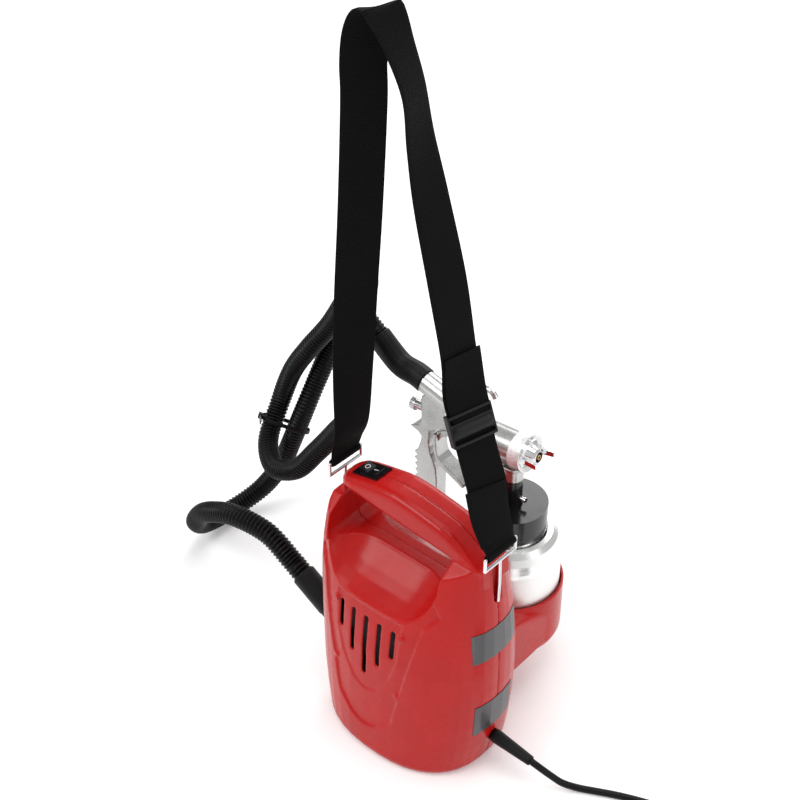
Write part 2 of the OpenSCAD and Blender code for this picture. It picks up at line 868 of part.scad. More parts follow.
// ---- routes -------------------------------------------------------------------------------
// Mains lead: from the strain relief down to the surface and away to the coil
lead_route = [
  for (p = [
    [-32.5, 3, 35], [-19, 3, 35], [-6, 3, 35], [18, 3, 33], [43, 3, 31], [53, 5, 27], [62, 10, 19],
    [73, 17, 9.5], [86, 26, 4.4], [102, 35, 3.8], [119, 44, 3.8], [139, 53, 3.8], [159, 60, 3.8],
    [182, 64, 3.8], [202.9, 64, 3.8]
  ]) [end_x + p[0], p[1], p[2]]
];

function lerp(a, b, t) = a + (b - a) * t;
// Point and tangent on a smooth curve through points, at parameter u (one unit per point)
function curve_at(p, u) =
  let (n = len(p) - 1, i = min(floor(u), n - 1), t = u - i,
    a = i > 0 ? p[i - 1] : 2 * p[0] - p[1], b = p[i], c = p[i + 1],
    d = i + 2 <= n ? p[i + 2] : 2 * p[n] - p[n - 1])
    0.5 * (2 * b + (c - a) * t + (2 * a - 5 * b + 4 * c - d) * t * t
      + (3 * b - a - 3 * c + d) * t * t * t);
function unit(v) = v / norm(v);
// Running lengths along a list of points
function lengths(p) = [
  for (i = 0, s = 0; i < len(p); i = i + 1, s = i < len(p) ? s + norm(p[i] - p[i - 1]) : s) s
];
// Dense points along a curve
function dense(p, k) = [
  for (i = [0 : (len(p) - 1) * k]) curve_at(p, i / k)
];
// A point at length s along dense points q with running lengths l
function along(q, l, s, i = 0) =
  i >= len(q) - 2 || l[i + 1] >= s
    ? lerp(q[i], q[i + 1], (s - l[i]) / (l[i + 1] - l[i]))
    : along(q, l, s, i + 1);
// Equally spaced points along a curve
function spaced(p, count) =
  let (q = dense(p, 6), l = lengths(q), total = l[len(l) - 1])
    [for (i = [0 : count]) along(q, l, total * i / count)];
function tangent(p, i) = unit(p[min(i + 1, len(p) - 1)] - p[max(i - 1, 0)]);
// Cross directions carried along the curve without twist
function frames(p, i, u) =
  i >= len(p) ? [] :
  let (t = tangent(p, i), v = unit(u - (u * t) * t)) concat([v], frames(p, i + 1, v));
function circle_ring(c, t, u, r, n) =
  let (w = cross(t, u)) [for (k = [0 : n - 1]) c + r * (cos(360 * k / n) * u + sin(360 * k / n) * w)];

module sweep(p, r, n, up = [0, 0, 1]) {
  u = frames(p, 0, up);
  skin([for (i = [0 : len(p) - 1]) circle_ring(p[i], tangent(p, i), u[i], r, n)], n);
}

// ---- mains lead ---------------------------------------------------------------------------
grip_len = 50; // sleeve outside the case
grip_dip = 4.6; // droop of the sleeve, in degrees
grip_wall = 0.3; // clearance round the lead
grip_flange_r = 8.7;
flange_z = -20; // inner face of the flange, from the inlet
sleeve_z = 3.6; // start of the sleeve

module cord_grip() {
  hole = lead_d + 2 * grip_wall;
  color([0.05, 0.05, 0.05])
    difference() {
      union() {
        at_inlet() {
          translate([0, 0, flange_z]) cylinder(h = sleeve_z + 3 - flange_z, r = inlet_r);
          translate([0, 0, flange_z]) cylinder(h = 3.9, r = grip_flange_r);
        }
        translate(inlet_at)
          rotate([0, 90 + grip_dip, 0]) translate([0, 0, sleeve_z]) cylinder(h = grip_len - sleeve_z, r1 = 7.4, r2 = 5.2);
      }
      at_inlet() translate([0, 0, flange_z - 1]) cylinder(h = 3 - flange_z, d = hole);
      translate(inlet_at) rotate([0, 90 + grip_dip, 0]) cylinder(h = grip_len + 1, d = hole);
    }
}

module cord_clamp() {
  color([0.1, 0.1, 0.1])
    at_inlet()
      translate([0, 0, flange_z - 5.6])
        difference() {
          translate([-6, -8, 0]) cube([12, 16, 5.5]);
          translate([0, 0, -1]) cylinder(h = 8, d = lead_d + 2 * fit);
        }
}

module power_cord() {
  color([0.04, 0.04, 0.04]) sweep(spaced(lead_route, 44), lead_d / 2, 8);
}

// Two layers of loops: in along the lower one, up a layer in half a turn, out along the upper
coil_at = [end_x + 204, 13, 0];
coil_turns = 2.375; // turns of one layer
coil_step = lead_d + 0.6; // spacing of the loops, sideways and upwards
coil_dip = 1.4; // how far the climbing half turn draws in
coil_z = 3.8;
loop_rings = 24;
function climb(t) = max(0, min(1, (t - coil_turns) * 2));
function coil_point(t) =
  let (u = climb(t), a = 90 - 360 * t,
    r = coil_r - coil_step * (min(t, coil_turns) - max(0, t - coil_turns - 0.5)) - coil_dip * sin(180 * u))
    coil_at + [r * cos(a), r * sin(a), coil_z + coil_step * u];
coil_end = coil_point(2 * coil_turns + 0.5);
plug_z = 19; // axis of the plug, which lies on the floor
coil_tail = [[-12, 0.1], [-22, 0.35], [-32, 0.75], [-43, 1], [-56, 1]]; // run along Y, share of the rise
coil_line = concat(
  [coil_point(0) - [1, 0, 0]],
  [for (i = [0 : (2 * coil_turns + 0.5) * loop_rings]) coil_point(i / loop_rings)],
  [for (s = coil_tail) coil_end + [0, s[0], s[1] * (plug_z - coil_end[2])]]
);
function least(v) = min(v);
coil_gap = least([
  for (i = [0 : len(coil_line) - 1])
    least(concat([coil_r], [for (j = [i + loop_rings / 2 : 1 : len(coil_line) - 1]) norm(coil_line[i] - coil_line[j])]))
]) - lead_d;
echo(coil_gap = coil_gap);

module cord_coil() {
  color([0.04, 0.04, 0.04]) sweep(coil_line, lead_d / 2, 6);
}

plug_at = coil_line[len(coil_line) - 1];
plug_len = 30;
pin_len = 19;
pin_half = 9.5; // half the spacing of the plug's pins

module at_plug() {
  translate(plug_at) rotate([90, 0, 0]) children();
}

module plug_body() {
  color([0.04, 0.04, 0.04]) at_plug() cylinder(h = plug_len, r1 = 12, r2 = 18.5);
}

module plug_pins() {
  color([0.75, 0.75, 0.76])
    at_plug()
      for (s = [-1, 1]) translate([s * pin_half, 0, plug_len]) cylinder(h = pin_len, r = 2.4);
}

hook_r = 1.7; // wire of the strap's hooks
// ---- shoulder strap -----------------------------------------------------------------------
bar_z = post_h + 24; // level of the hooks' top bars
hook_x = end_x - 4; // distance of the hooks from the middle
// Middle line of the strap over the level of the posts' tops, with the direction of its width
// in degrees from +X
strap_route = [
  [-hook_x, 4, 26.7, 90], [-hook_x + 3, 4, 40, 85], [-89, 3, 69, 75], [-84, 1, 134, 60],
  [-78, 0, 215, 46], [-70, 0, 314, 44], [-64, 0, 412, 44], [-64, 0, 446, 47], [-61, 0, 472, 52],
  [-54, 0, 491, 60], [-45, 0, 499, 70], [-36, 0, 491, 85], [-25, 0, 472, 98], [-10, 0, 439, 104],
  [-2.5, 0, 398, 97], [9.5, 0, 348, 84], [29, -1, 279, 76], [44, -2, 214, 80], [50, -2, 174, 68],
  [60, -2, 146, 68], [69, -2, 119, 68], [81, -3, 89, 66], [87, -3, 59, 74], [hook_x - 4, -3, 36, 84],
  [hook_x, -3, 26.7, 90]
];
strap_line = [for (s = strap_route) [s[0], s[1], post_h + s[2]]];

loop_r = hook_r + 0.35; // bore of the loop that each strap end makes round its bar

module shoulder_strap() {
  n = len(strap_line);
  color([0.06, 0.06, 0.06]) {
    for (end = [0, n - 1])
      translate([strap_line[end][0], strap_line[end][1], bar_z])
        rotate([90, 0, 0]) tube_middle(2 * (loop_r + strap_t), 2 * loop_r, strap_w);
    skin([
      for (i = [0 : n - 1])
        let (t = tangent(strap_line, i), a = strap_route[i][3],
          w0 = [cos(a), sin(a), 0], w = unit(w0 - (w0 * t) * t), m = cross(t, w), c = strap_line[i])
          [
            c + w * strap_w / 2 + m * strap_t / 2, c - w * strap_w / 2 + m * strap_t / 2,
            c - w * strap_w / 2 - m * strap_t / 2, c + w * strap_w / 2 - m * strap_t / 2
          ]
    ], 4);
  }
}

buckle_i = 19; // strap point that the buckle sits on
buckle_l = 31;
buckle_t = 9;
buckle_slot = 5; // length of each of its two slots
buckle_bar = 3; // thickness of its end bars
buckle_gap = 1.1; // clearance on each face of the webbing

module strap_buckle() {
  t = tangent(strap_line, buckle_i);
  a = strap_route[buckle_i][3];
  color([0.04, 0.04, 0.04])
    facing(strap_line[buckle_i], cross(t, [cos(a), sin(a), 0]), t)
      difference() {
        cube([buckle_t, strap_w + 5.4, buckle_l], center = true);
        for (z = [-1, 1])
          translate([0, 0, z * (buckle_l / 2 - buckle_bar - buckle_slot / 2)])
            cube([30, strap_w + 1.4, buckle_slot], center = true);
        cube([strap_t + 2 * buckle_gap, strap_w + 1.4, buckle_l + 2], center = true);
      }
}

module strap_hook(end, y) {
  x = end * hook_x;
  half = strap_w / 2 + hook_r + 0.8;
  low = bar_z - 13;
  nib = slot_low + hook_r + seat;
  wire([[x, y, bar_z], [x, y - half, bar_z], [x, y - half, low], [x, y + half, low], [x, y + half, bar_z],
    [x, y, bar_z]], hook_r);
  wire([[x, y, low], [x - end * 1.5, 0, low - 32], [x - end * 2, 0, nib], [x - end * 10, 0, nib]], hook_r);
}

module front_strap_hook() {
  color([0.75, 0.75, 0.77]) strap_hook(1, -3);
}

module rear_strap_hook() {
  color([0.75, 0.75, 0.77]) strap_hook(-1, 4);
}

// ---- paint can and lid --------------------------------------------------------------------
can_low = holder_low + holder_wall + 0.3;
can_t = 1.2;
can_r = can_d / 2;
shoulder_low = can_low + can_wall_h + 0.7;
lid_low = shoulder_low + shoulder_h + 1;
lid_top = lid_low + lid_h;
lid_t = 3;
neck_r = lid_d / 2 - lid_t - 0.6;
pickup_r = 4;

function can_line(o) = [
  [can_r - o, can_low + 3 + o / 2], [can_r - o, shoulder_low], [can_r - 1 - o, shoulder_low + 4],
  [can_r - 2 - o, shoulder_low + 14], [can_r - 5 - o, shoulder_low + 22 - o / 2],
  [can_r - 10 - o / 2, shoulder_low + shoulder_h - 3 - o],
  [can_r - 15, shoulder_low + shoulder_h - 1.6 - o], [neck_r - o, shoulder_low + shoulder_h - 2.4 - o]
];

module paint_can() {
  color([0.8, 0.81, 0.83])
    at_holder()
      rotate_extrude($fn = 64)
        polygon(concat(
          [[0, can_low], [can_r - 3, can_low]],
          can_line(0),
          [[neck_r, lid_top - lid_t - 3], [neck_r - can_t, lid_top - lid_t - 3]],
          [for (i = [len(can_line(can_t)) - 1 : -1 : 0]) can_line(can_t)[i]],
          [[can_r - 3 - can_t, can_low + can_t], [0, can_low + can_t]]
        ));
}

module cup_lid() {
  color([0.04, 0.04, 0.04])
    at_holder()
      difference() {
        translate([0, 0, lid_low]) cylinder(h = lid_h, d = lid_d);
        translate([0, 0, lid_low - 1]) cylinder(h = lid_h - lid_t + 1, r = neck_r + 0.05);
        translate([0, 0, lid_low]) cylinder(h = 2 * lid_h, r = pickup_r + fit);
      }
}

module lid_gasket() {
  color([0.15, 0.15, 0.15])
    at_holder() translate([0, 0, lid_top - lid_t - 2.9]) tube(2 * neck_r - 0.4, 2 * neck_r - 9, 2.8);
}

module pickup_tube() {
  color([0.8, 0.81, 0.83])
    at_holder()
      translate([0, 0, can_low + 8]) tube(2 * pickup_r, 2 * pickup_r - 2, lid_top + riser_h - 4 - can_low - 8);
}

module riser_tube() {
  color([0.04, 0.04, 0.04])
    at_holder()
      translate([0, 0, lid_top])
        difference() {
          union() {
            cylinder(h = riser_h, d = riser_d);
            cylinder(h = 3, d = riser_d + 2);
          }
          translate([0, 0, -1]) cylinder(h = riser_h + 2, r = pickup_r + fit);
        }
}

module pressure_nipple() {
  color([0.7, 0.7, 0.72])
    at_holder()
      translate([riser_d / 2 + 0.02, 0, lid_top + 9])
        rotate([0, 90, 0]) {
          cylinder(h = 7, r = 2);
          translate([0, 0, 5]) cylinder(h = 2, r = 2.8);
        }
}

// ---- gun ----------------------------------------------------------------------------------
collar_low = lid_top + riser_h;
collar_h = 13;
axis_z = collar_low + 38; // barrel axis over the riser
barrel_r = barrel_d / 2;
needle_r = needle_d / 2;
chamber_r = 7.5;
chamber_x = -110; // rear end of the spring chamber
needle_x = -99; // rear end of the needle
stem_r = 4;
thread_r = 5;
knob_r = 7.3;
barrel_front = 9; // front face of the barrel
pivot_at = [-77, 14]; // trigger pin in the gun's own plane
pin_r = 2;
needle_stroke = pivot_at[1] * tan(trigger_swing);
arm_t = 2; // thickness of the trigger's two arms
arm_y = 4.5; // distance of each arm from the middle plane
slot_half = 6.2; // half width of the slot that the arms hang in
gun_inlet_r = 12.2; // radius of the body round the air inlet

// Gun frame: x along the barrel towards the nozzle, z across it
module at_gun() {
  translate([holder_x, holder_y, axis_z]) rotate([0, -gun_tilt, 0]) children();
}

module along_barrel(x) {
  translate([x, 0, 0]) rotate([0, 90, 0]) children();
}

grip_back = [for (i = [0 : 7]) each [[-125 - i * 0.4, -52 - 8 * i], [-129.5 - i * 0.3, -55 - 8 * i]]];
// Front of the grip, behind the trigger
grip_front = [
  [-105, -136], [-102.6, -112], [-101.1, -96], [-100, -83], [-100.5, -68], [-103, -60], [-107, -51],
  [-108.2, -42]
];
column_front = [[-106.6, -31], [-105.6, -20], [-102.5, -16]];
grip_line = concat(
  [[-100, -5], [-113, -5], [-115, -11], [-118.8, -36.8], [-124.2, -50.4]], grip_back,
  [[-131, -122], [-131, -136], [-127, -139], [-107, -139]], grip_front, column_front
);
// Wider upper part of the body with its spur, down to the ledge over the grip
web_line = concat(
  [[-62, 21], [-86, 24], [-104, 26], [-113, 21], [-114.2, 14.6], [-115, -0.4], [-115.7, -11.4],
    [-120.2, -18.4], [-127.2, -19.9], [-131.9, -22.8], [-121.5, -26.2], [-113.4, -34],
    [-108.4, -38.8]],
  column_front, [[-97, -15.5], [-90, -11], [-80, -8.5], [-62, -8.5]]
);
grip_inset = 1.2; // how far the grip lies within the web, per side

// Hose joint of the gun, from the barrel axis over the riser
inlet_face = [-116.5, 0, 25];
inlet_dir = unit([56.5, 0, -15]);
stub_len = 10;
stub_r = 10.2;
cuff_line = [
  inlet_face - seat * inlet_dir, inlet_face - (stub_len + 3) * inlet_dir, [-151.5, 0, 31], [-181.5, 0, 52]
];
gun_joint = [holder_x, holder_y, axis_z] + cuff_line[3];
joint_dir = unit(cuff_line[3] - cuff_line[2]);
neck_z = collar_low + collar_h - axis_z;
neck_t = 3.6;

module at_gun_level() {
  translate([holder_x, holder_y, axis_z]) children();
}

module gun_body() {
  color([0.72, 0.72, 0.71])
    difference() {
      union() {
        at_gun() {
          slab(web_line, grip_t);
          slab(grip_line, grip_t - 2 * grip_inset);
          along_barrel(-61) cylinder(h = 61 + barrel_front, r = barrel_r);
          along_barrel(-80) cylinder(h = 20, r1 = gun_inlet_r, r2 = barrel_r);
          translate([-22, -12.8, -12.6]) cube([21, 25.6, 2.4]);
        }
        at_gun_level() {
          rod(inlet_face, [-60, 0, 10], gun_inlet_r);
          rod(inlet_face - stub_len * inlet_dir, [-100, 0, 20.6], stub_r);
          translate([0, 0, neck_z]) cylinder(h = neck_t, r = 12);
          translate([-26, -9, neck_z]) cube([20, 18, 20]);
          translate([-10, -9, neck_z]) cube([10, 18, neck_t]);
        }
      }
      at_gun() {
        translate([-86, -slot_half, -30]) cube([20, 2 * slot_half, 50]);
        along_barrel(-122) cylinder(h = 14, r = stem_r + fit);
        along_barrel(chamber_x) cylinder(h = -84 - chamber_x, r = chamber_r);
        along_barrel(-90) cylinder(h = 110, r = needle_r + 0.4);
        along_barrel(-18) cylinder(h = 19, r = 4);
        along_barrel(barrel_front - 9) cylinder(h = 20, r = 8);
        translate([pivot_at[0], 0, pivot_at[1]])
          rotate([90, 0, 0]) cylinder(h = 60, r = pin_r, center = true);
      }
      at_gun_level() {
        rod(inlet_face - (stub_len + 1) * inlet_dir, inlet_face + 20 * inlet_dir, outlet_bore);
        translate([0, 0, neck_z - 1]) cylinder(h = 3.6, r = pickup_r + 1);
        translate([-16, -2.5, neck_z - 1]) cube([16, 5, 3.6]);
        translate([-13.5, 0, neck_z - 1]) cylinder(h = 25, r = 2.5);
      }
    }
}

module coupling_nut() {
  color([0.72, 0.73, 0.75])
    at_holder() translate([0, 0, collar_low]) tube(riser_d, 2 * pickup_r + 2, collar_h);
}

module hanging_hook() {
  color([0.74, 0.74, 0.74])
    at_gun()
      sweep(spaced([[-52, 0, barrel_r + 0.05], [-52, 0, 28], [-52, 0, 38], [-49, 0, 48], [-42, 0, 54],
        [-33, 0, 56], [-26, 0, 54.5], [-22, 0, 49]], 22), 3.2, 12, [0, 1, 0]);
}

module gun_cuff() {
  last = cuff_line[3];
  run_out = unit(last - cuff_line[2]);
  path = concat([cuff_line[0]], spaced([cuff_line[0] - inlet_dir, cuff_line[1], cuff_line[2], last - run_out], 12), [last]);
  color([0.04, 0.04, 0.04])
    at_gun_level()
      difference() {
        sweep(path, cuff_r, 16);
        sweep(concat([cuff_line[0] + inlet_dir], path, [last + run_out]), outlet_bore - 0.5, 12);
        rod(cuff_line[0] + inlet_dir, inlet_face - (stub_len + 0.3) * inlet_dir, stub_r + fit);
      }
}

module needle_spring() {
  color([0.6, 0.6, 0.62]) at_gun() along_barrel(chamber_x + seat) tube(13, 9, needle_x - needle_stroke - chamber_x - seat);
}

module packing_nut() {
  color([0.75, 0.6, 0.3])
    at_gun() along_barrel(-90) tube(2 * (chamber_r - seat), needle_d + 2 * fit, 5.9);
}

module trigger_pin() {
  color([0.7, 0.7, 0.72])
    at_gun()
      translate([pivot_at[0], 0, pivot_at[1]])
        rotate([90, 0, 0]) cylinder(h = 2 * gun_inlet_r + 1.6, r = pin_r, center = true);
}

// Blade of the trigger: front face downwards, round its tip, then back up behind
blade_line = [
  [-96, -21.5], [-97, -31], [-97.2, -41], [-95.5, -49], [-91, -53.3], [-80, -59], [-69, -65],
  [-62.5, -70], [-61, -72.8], [-63, -74.8], [-65.5, -74.5], [-69.6, -71.5], [-81.3, -65.2],
  [-94, -58.2], [-98.5, -53], [-100.8, -42], [-100.3, -21.5]
];
// Arm from the blade's top to the pin
arm_line = [
  [-99, -21.8], [-97, -19.5], [-89, -15.5], [-82.5, -12], [-80.5, -6], [-80.5, 8], [-79, 16],
  [-76.5, 18], [-74, 16], [-72.5, 8], [-72.5, -8], [-76, -15], [-84, -20], [-92, -24.5], [-97, -31],
  [-99, -31]
];

module trigger() {
  color([0.75, 0.75, 0.75])
    at_gun()
      difference() {
        union() {
          for (s = [-1, 1]) translate([0, s * arm_y, 0]) slab(arm_line, arm_t);
          slab(blade_line, grip_t);
        }
        translate([pivot_at[0], 0, pivot_at[1]])
          rotate([90, 0, 0]) cylinder(h = 60, r = pin_r + fit, center = true);
      }
}

nozzle_tip = barrel_front + 22;

module fluid_nozzle() {
  color([0.78, 0.6, 0.3])
    at_gun()
      difference() {
        union() {
          along_barrel(barrel_front - 8.9) cylinder(h = 9, r = 7.95);
          along_barrel(barrel_front + 0.02) cylinder(h = 3, r = 12);
          along_barrel(barrel_front + 2) cylinder(h = 12, r = 5);
          along_barrel(barrel_front + 14) cylinder(h = nozzle_tip - barrel_front - 14, r1 = 5, r2 = 2.6);
        }
        along_barrel(barrel_front - 10) cylinder(h = 45, r = needle_r + fit);
        along_barrel(barrel_front - 10) cylinder(h = 23, r = 3.4);
      }
}

ring_rear = 5.5;
ring_front = 20;
lip_rear = 15.8; // rear face of the ring's lip
lip_r = 15.6; // opening of the ring's lip

module retaining_ring() {
  color([0.86, 0.86, 0.85])
    at_gun()
      difference() {
        along_barrel(ring_rear) cylinder(h = ring_front - ring_rear, d = ring_d);
        along_barrel(ring_rear - 1) cylinder(h = lip_rear - ring_rear + 1, r = barrel_r + 0.1);
        along_barrel(ring_rear) cylinder(h = 12, r = lip_r);
        along_barrel(ring_front - 3) cylinder(h = 3.01, r1 = lip_r, r2 = ring_d / 2 - 1.1);
      }
}

// Section of the air cap: radius, place along the barrel
cap_line = [
  [5.6, 12.1], [barrel_r - 0.2, 12.1], [barrel_r - 0.2, lip_rear - seat], [lip_r - 0.2, lip_rear - seat],
  [lip_r - 0.2, 17], [12.6, 15.2], [11, 16.5], [10.5, 19], [8, 28], [6.5, 30.2], [5.6, 30.6]
];
horn_line = [[14, 9.5], [14, 14.6], [26, 15.2], [38.5, 16.4], [39.5, 12], [28, 9.5]];
horn_t = 5.4;

module air_cap() {
  color([0.8, 0.81, 0.83])
    at_gun() {
      rotate([0, 90, 0]) rotate_extrude() polygon(cap_line);
      for (s = [0, 1])
        mirror([0, s, 0]) linear_extrude(horn_t, center = true) polygon(horn_line);
    }
}

module needle() {
  color([0.75, 0.75, 0.78])
    at_gun() {
      along_barrel(needle_x) cylinder(h = nozzle_tip - needle_x - 2, r = needle_r);
      along_barrel(needle_x) cylinder(h = 3, r = 6.5);
    }
}

module flow_knob() {
  color([0.8, 0.8, 0.8])
    at_gun() {
      along_barrel(-134.5) cylinder(h = 6.5, r = knob_r);
      along_barrel(-128.2) cylinder(h = 12.2, r = thread_r);
      along_barrel(-117) cylinder(h = 15.7, r = stem_r);
    }
}

// ---- air hose -----------------------------------------------------------------------------
// Hose: from the case cuff, round a low loop beside the case, up, round the tied loop, to the gun
hose_run = [
  [-203, -13, 139], [-248, -18, 141], [-289, -14, 120],
  [-322, -3, 91], [-349, 10, 56], [-367, 38, 25], [-369, 82, 17], [-354, 120, 36],
  [-334, 135, 74], [-316, 137, 117], [-304, 147, 160], [-299, 168, 201], [-290, 184, 242],
  [-272, 196, 283], [-249, 195, 322], [-227, 176, 358], [-206, 142, 380], [-179, 106, 380],
  [-156, 79, 352], [-151, 71, 308], [-163, 77, 264], [-189, 81, 226], [-215, 78, 189],
  [-243, 73, 153], [-283, 77, 133], [-319, 103, 137], [-332, 136, 164], [-324, 151, 206],
  [-301, 156, 245], [-276, 166, 283], [-253, 167, 322], [-229, 151, 344], [-207, 137, 350]
];
hose_stub = 20; // straight run at each end
hose_route = concat(
  [for (d = [seat, hose_stub / 2, hose_stub]) outlet_at + (cuff_len + d) * outlet_dir],
  hose_run,
  [for (d = [hose_stub, hose_stub / 2, seat]) gun_joint + d * joint_dir]
);
hose_line = spaced(hose_route, 2 * hose_ribs);
hose_root_r = hose_d / 2 - 1.9;
hose_sides = 8;

module air_hose() {
  n = len(hose_line);
  u = frames(hose_line, 0, [0, 1, 0]);
  bore_line = [for (i = [0 : 2 : n - 1]) hose_line[i]];
  bore_u = [for (i = [0 : 2 : n - 1]) u[i]];
  m = len(bore_line);
  color([0.05, 0.05, 0.05])
    difference() {
      skin([for (i = [0 : n - 1])
        circle_ring(hose_line[i], tangent(hose_line, i), u[i],
          i % 2 == 1 || i == 0 || i == n - 1 ? hose_d / 2 : hose_root_r, hose_sides)], hose_sides);
      skin([for (i = [0 : m - 1])
        circle_ring(bore_line[i] + (i == 0 ? -1 : i == m - 1 ? 1 : 0) * tangent(bore_line, i),
          tangent(bore_line, i), bore_u[i], hose_bore / 2, 6)], 6);
    }
}

// Cable tie: a band round both strands where the hose crosses itself, with its head and tail
tie_from = [-329, 121, 148];
tie_to = [-308, 141, 142];
tie_lie = [0, 0.52, 0.85]; // mean direction of the two strands
tie_w = 4.8;
tie_t = 1.3;
tie_r = hose_d / 2 + 2;
tie_tail = 30;

// Places children with their Z along z and their X as near as possible along x
module facing(at, x, z) {
  c = unit(z);
  a = unit(x - (x * c) * c);
  b = cross(c, a);
  multmatrix([[a[0], b[0], c[0], at[0]], [a[1], b[1], c[1], at[1]], [a[2], b[2], c[2], at[2]], [0, 0, 0, 1]])
    children();
}

module tie_area(span, r) {
  for (s = [-1, 1]) translate([s * span / 2, 0]) circle(r);
  square([span, 2 * r], center = true);
}

module cable_tie() {
  span = norm(tie_to - tie_from);
  color([0.05, 0.05, 0.05])
    facing((tie_from + tie_to) / 2, tie_to - tie_from, tie_lie) {
      linear_extrude(tie_w, center = true)
        difference() {
          tie_area(span, tie_r + tie_t);
          tie_area(span, tie_r);
        }
      translate([-span / 2 - tie_r - tie_t - 3, -4, -3.4]) cube([4, 8, 6.8]);
      translate([-span / 2 - tie_r - 3, -tie_tail - 3.5, -tie_w / 2]) cube([tie_t, tie_tail, tie_w]);
    }
}

vent_side_shell();
holder_side_shell();
shell_screws();
upper_plate();
lower_plate();
switch_housing();
rocker();
switch_leads();
stator_core();
field_coils();
lower_end_frame();
upper_end_frame();
brush_holders();
carbon_brushes();
motor_screws();
motor_shaft();
armature_core();
commutator();
impellers();
bearings();
fan_housing();
fan_cover();
return_vanes();
motor_mounts();
filter_frame();
filter_foam();
outlet_spigot();
case_cuff();
air_hose();
cable_tie();
cord_grip();
cord_clamp();
power_cord();
cord_coil();
plug_body();
plug_pins();
shoulder_strap();
strap_buckle();
front_strap_hook();
rear_strap_hook();
gun_body();
hanging_hook();
coupling_nut();
gun_cuff();
packing_nut();
needle_spring();
trigger_pin();
fluid_nozzle();
retaining_ring();
air_cap();
trigger();
needle();
flow_knob();
cup_lid();
lid_gasket();
riser_tube();
pressure_nipple();
pickup_tube();
paint_can();
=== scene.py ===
import json
import math

import bmesh
import bpy
import numpy as np
from mathutils import Matrix, Vector

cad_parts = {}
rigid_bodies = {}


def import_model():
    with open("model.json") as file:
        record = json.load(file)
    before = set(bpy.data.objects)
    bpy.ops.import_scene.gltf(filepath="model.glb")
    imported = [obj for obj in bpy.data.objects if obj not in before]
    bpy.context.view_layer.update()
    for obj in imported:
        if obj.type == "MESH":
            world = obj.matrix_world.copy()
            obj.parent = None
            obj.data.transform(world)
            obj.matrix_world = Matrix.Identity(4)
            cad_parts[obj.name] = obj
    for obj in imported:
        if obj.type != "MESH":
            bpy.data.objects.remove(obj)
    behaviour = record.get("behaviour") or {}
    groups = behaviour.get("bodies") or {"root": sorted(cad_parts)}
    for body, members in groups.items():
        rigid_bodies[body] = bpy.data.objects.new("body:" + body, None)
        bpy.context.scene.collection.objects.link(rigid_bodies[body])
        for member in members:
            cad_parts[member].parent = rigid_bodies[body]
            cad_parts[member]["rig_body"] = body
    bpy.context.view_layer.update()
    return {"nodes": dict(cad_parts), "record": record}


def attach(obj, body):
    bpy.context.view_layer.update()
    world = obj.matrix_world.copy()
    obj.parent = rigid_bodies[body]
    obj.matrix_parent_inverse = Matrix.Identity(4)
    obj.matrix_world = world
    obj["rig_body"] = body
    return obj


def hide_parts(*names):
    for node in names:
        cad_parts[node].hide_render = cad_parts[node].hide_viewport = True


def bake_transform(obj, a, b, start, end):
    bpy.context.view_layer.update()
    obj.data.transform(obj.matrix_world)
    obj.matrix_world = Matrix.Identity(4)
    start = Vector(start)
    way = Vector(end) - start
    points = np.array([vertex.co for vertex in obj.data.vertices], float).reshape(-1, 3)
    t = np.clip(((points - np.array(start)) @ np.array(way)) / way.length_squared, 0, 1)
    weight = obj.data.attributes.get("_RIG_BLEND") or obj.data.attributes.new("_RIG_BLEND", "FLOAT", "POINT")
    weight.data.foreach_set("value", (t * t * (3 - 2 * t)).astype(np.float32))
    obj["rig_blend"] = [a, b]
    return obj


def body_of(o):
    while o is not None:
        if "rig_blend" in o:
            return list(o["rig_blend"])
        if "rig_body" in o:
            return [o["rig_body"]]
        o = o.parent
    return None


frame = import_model()
NODES = frame["nodes"]


# ---- camera, floor and light ------------------------------------------------------------
# where the photo was taken from
CAMERA_AT = (0.7186, -0.8396, 1.2254)
CAMERA_RIGHT = (0.749, 0.663, 0)
CAMERA_PITCH = 36.5
LENS_MM = 68.85
SENSOR_MM = 36

FLOOR_HALF = 12
FLOOR_GLOW = 0.16
WORLD_STRENGTH = 0.6
# name, place, what it points at, size and power of each lamp
LAMPS = [
    ("key", (-0.9, -1.6, 1.9), (0, 0, 0.15), (1.3, 1.0), 22),
    ("side", (1.9, 0.3, 0.9), (0.05, 0.05, 0.2), (0.9, 1.2), 8),
    ("back", (-0.6, 2.0, 1.5), (0, 0.1, 0.2), (1.4, 0.9), 16),
    ("top", (0.0, 0.1, 3.2), (0, 0, 0), (2.0, 2.0), 30),
]


def make_camera():
    data = bpy.data.cameras.new("camera")
    data.sensor_width = SENSOR_MM
    data.lens = LENS_MM
    data.clip_start = 0.05
    cam = bpy.data.objects.new("camera", data)
    right = Vector(CAMERA_RIGHT).normalized()
    pitch = math.radians(CAMERA_PITCH)
    level = Vector((-right.y, right.x, 0))
    forward = level * math.cos(pitch) - Vector((0, 0, 1)) * math.sin(pitch)
    up = right.cross(forward)
    turn = Matrix((right, up, -forward)).transposed()
    cam.matrix_world = Matrix.Translation(CAMERA_AT) @ turn.to_4x4()
    bpy.context.scene.collection.objects.link(cam)
    bpy.context.scene.camera = cam
    bpy.context.scene.view_settings.view_transform = "Standard"


def area(name, at, aim, size, power):
    data = bpy.data.lights.new(name, "AREA")
    data.shape = "RECTANGLE"
    data.size, data.size_y = size
    data.energy = power
    lamp = bpy.data.objects.new(name, data)
    lamp.location = at
    lamp.rotation_euler = (Vector(aim) - Vector(at)).to_track_quat("-Z", "Y").to_euler()
    bpy.context.scene.collection.objects.link(lamp)


